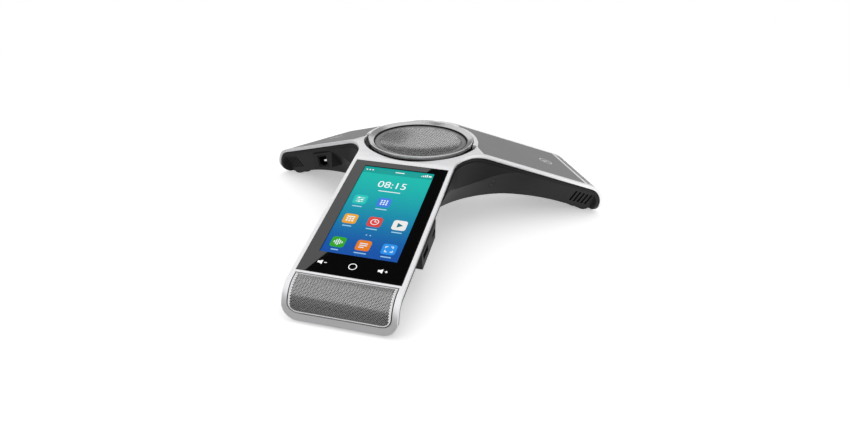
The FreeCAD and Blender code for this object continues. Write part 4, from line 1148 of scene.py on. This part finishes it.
# %% [markdown]
# ## Cards for the reflections
# Bright metal and glass show what stands round them, so a photographer sets up cards of paper that only the
# reflections see. A white and a black card share one edge, and that edge is the slanted line across the
# glass. The black one is cut to the shape that the glass mirrors, so that the frame beside the glass stays
# bright. Grey cards in front, on the table and behind give the noses and the dish their shade.

# %% Cards
WHITE_PAPER = 1.0
BLACK_PAPER = 0.02
FRONT_PAPER = 0.4
TABLE_GAP = 0.0005
BACK_DISTANCE = 1.25
# Left, right, front and back edge on the table, and brightness.
TABLE_CARDS = {
    "front table card": (-0.7, 0.5, -0.42, -0.158, 0.3),
    "left table card": (-0.5, -0.046, -0.157, 0.16, 0.4),
    "right table card": (0.075, 0.17, -0.12, 0.05, 0.1),
}
# Turn about the middle of the table, lower and upper edge, width and brightness.
BACK_CARDS = {
    "left back card": (33, 0.05, 0.42, 1.0, 0.2),
    "right back card": (-16, 0.55, 1.25, 1.36, 0.4),
    "low back card": (0, -0.2, 0.16, 2.4, 0.6),
}


def card(name, matrix, width, height, brightness, cuts=()):
    """A studio card that only shows as a reflection. Each cut takes off what lies beyond a line."""
    drawing = bmesh.new()
    bar(drawing, 0, 0, width, height)
    for point, outwards in cuts:
        trim(drawing, point, outwards)
    bmesh.ops.transform(drawing, matrix=matrix, verts=drawing.verts)
    paper = Finish(name + " paper", {"Base Color": (0, 0, 0, 1), "Roughness": 1.0, "Specular IOR Level": 0.0,
                                     "Emission Strength": brightness})
    paper.feed("Emission Color", paper.noise(0.5).mix((0.97, 0.97, 0.97, 1), (1, 1, 1, 1)))
    made = drawn_object(name, drawing, paper.material)
    made.visible_camera = False
    made.visible_diffuse = False
    made.visible_shadow = False


EDGE_MIDDLE = Vector((-0.4025, 0.5719, 1.1083))
EDGE_LINE = Vector((0.6551, 0.7257, -0.2102))
EDGE_SIDE = Vector((-0.6923, 0.4651, -0.5517))
facing = EDGE_LINE.cross(EDGE_SIDE)
card_turn = Matrix((EDGE_LINE, EDGE_SIDE, facing)).transposed().to_4x4()
card("bright card", Matrix.Translation(EDGE_MIDDLE + EDGE_SIDE * 0.25) @ card_turn, 1.0, 0.5, WHITE_PAPER)
shared_edge = ((0, 0, 0), (0, 1, 0))
glass_foot = ((-0.138, -0.088, 0), (-0.744, -0.669, 0))
glass_side = ((-0.037, -0.19, 0), (0.489, -0.872, 0))
card("black card", Matrix.Translation(EDGE_MIDDLE) @ card_turn, 0.7, 0.5, BLACK_PAPER,
     (shared_edge, glass_foot, glass_side))
upright = Matrix.Rotation(math.pi / 2, 4, "X")
front_slant = Matrix.Rotation(math.radians(16), 4, "Y")
front_place = Matrix.Translation((-0.09, -0.42, 0.045)) @ front_slant @ upright
card("front card", front_place, 1.2, 0.15, FRONT_PAPER)
for name, (left_edge, right_edge, front_edge, back_edge, brightness) in TABLE_CARDS.items():
    place = Matrix.Translation(((left_edge + right_edge) / 2, (front_edge + back_edge) / 2, TABLE_GAP))
    card(name, place, right_edge - left_edge, back_edge - front_edge, brightness)
for name, (turn, low_edge, high_edge, width, brightness) in BACK_CARDS.items():
    stand = Matrix.Translation((0, BACK_DISTANCE, (low_edge + high_edge) / 2)) @ upright
    spin = Matrix.Rotation(math.radians(turn), 4, "Z")
    card(name, spin @ stand, width, high_edge - low_edge, brightness)
print("cards:", 3 + len(TABLE_CARDS) + len(BACK_CARDS))
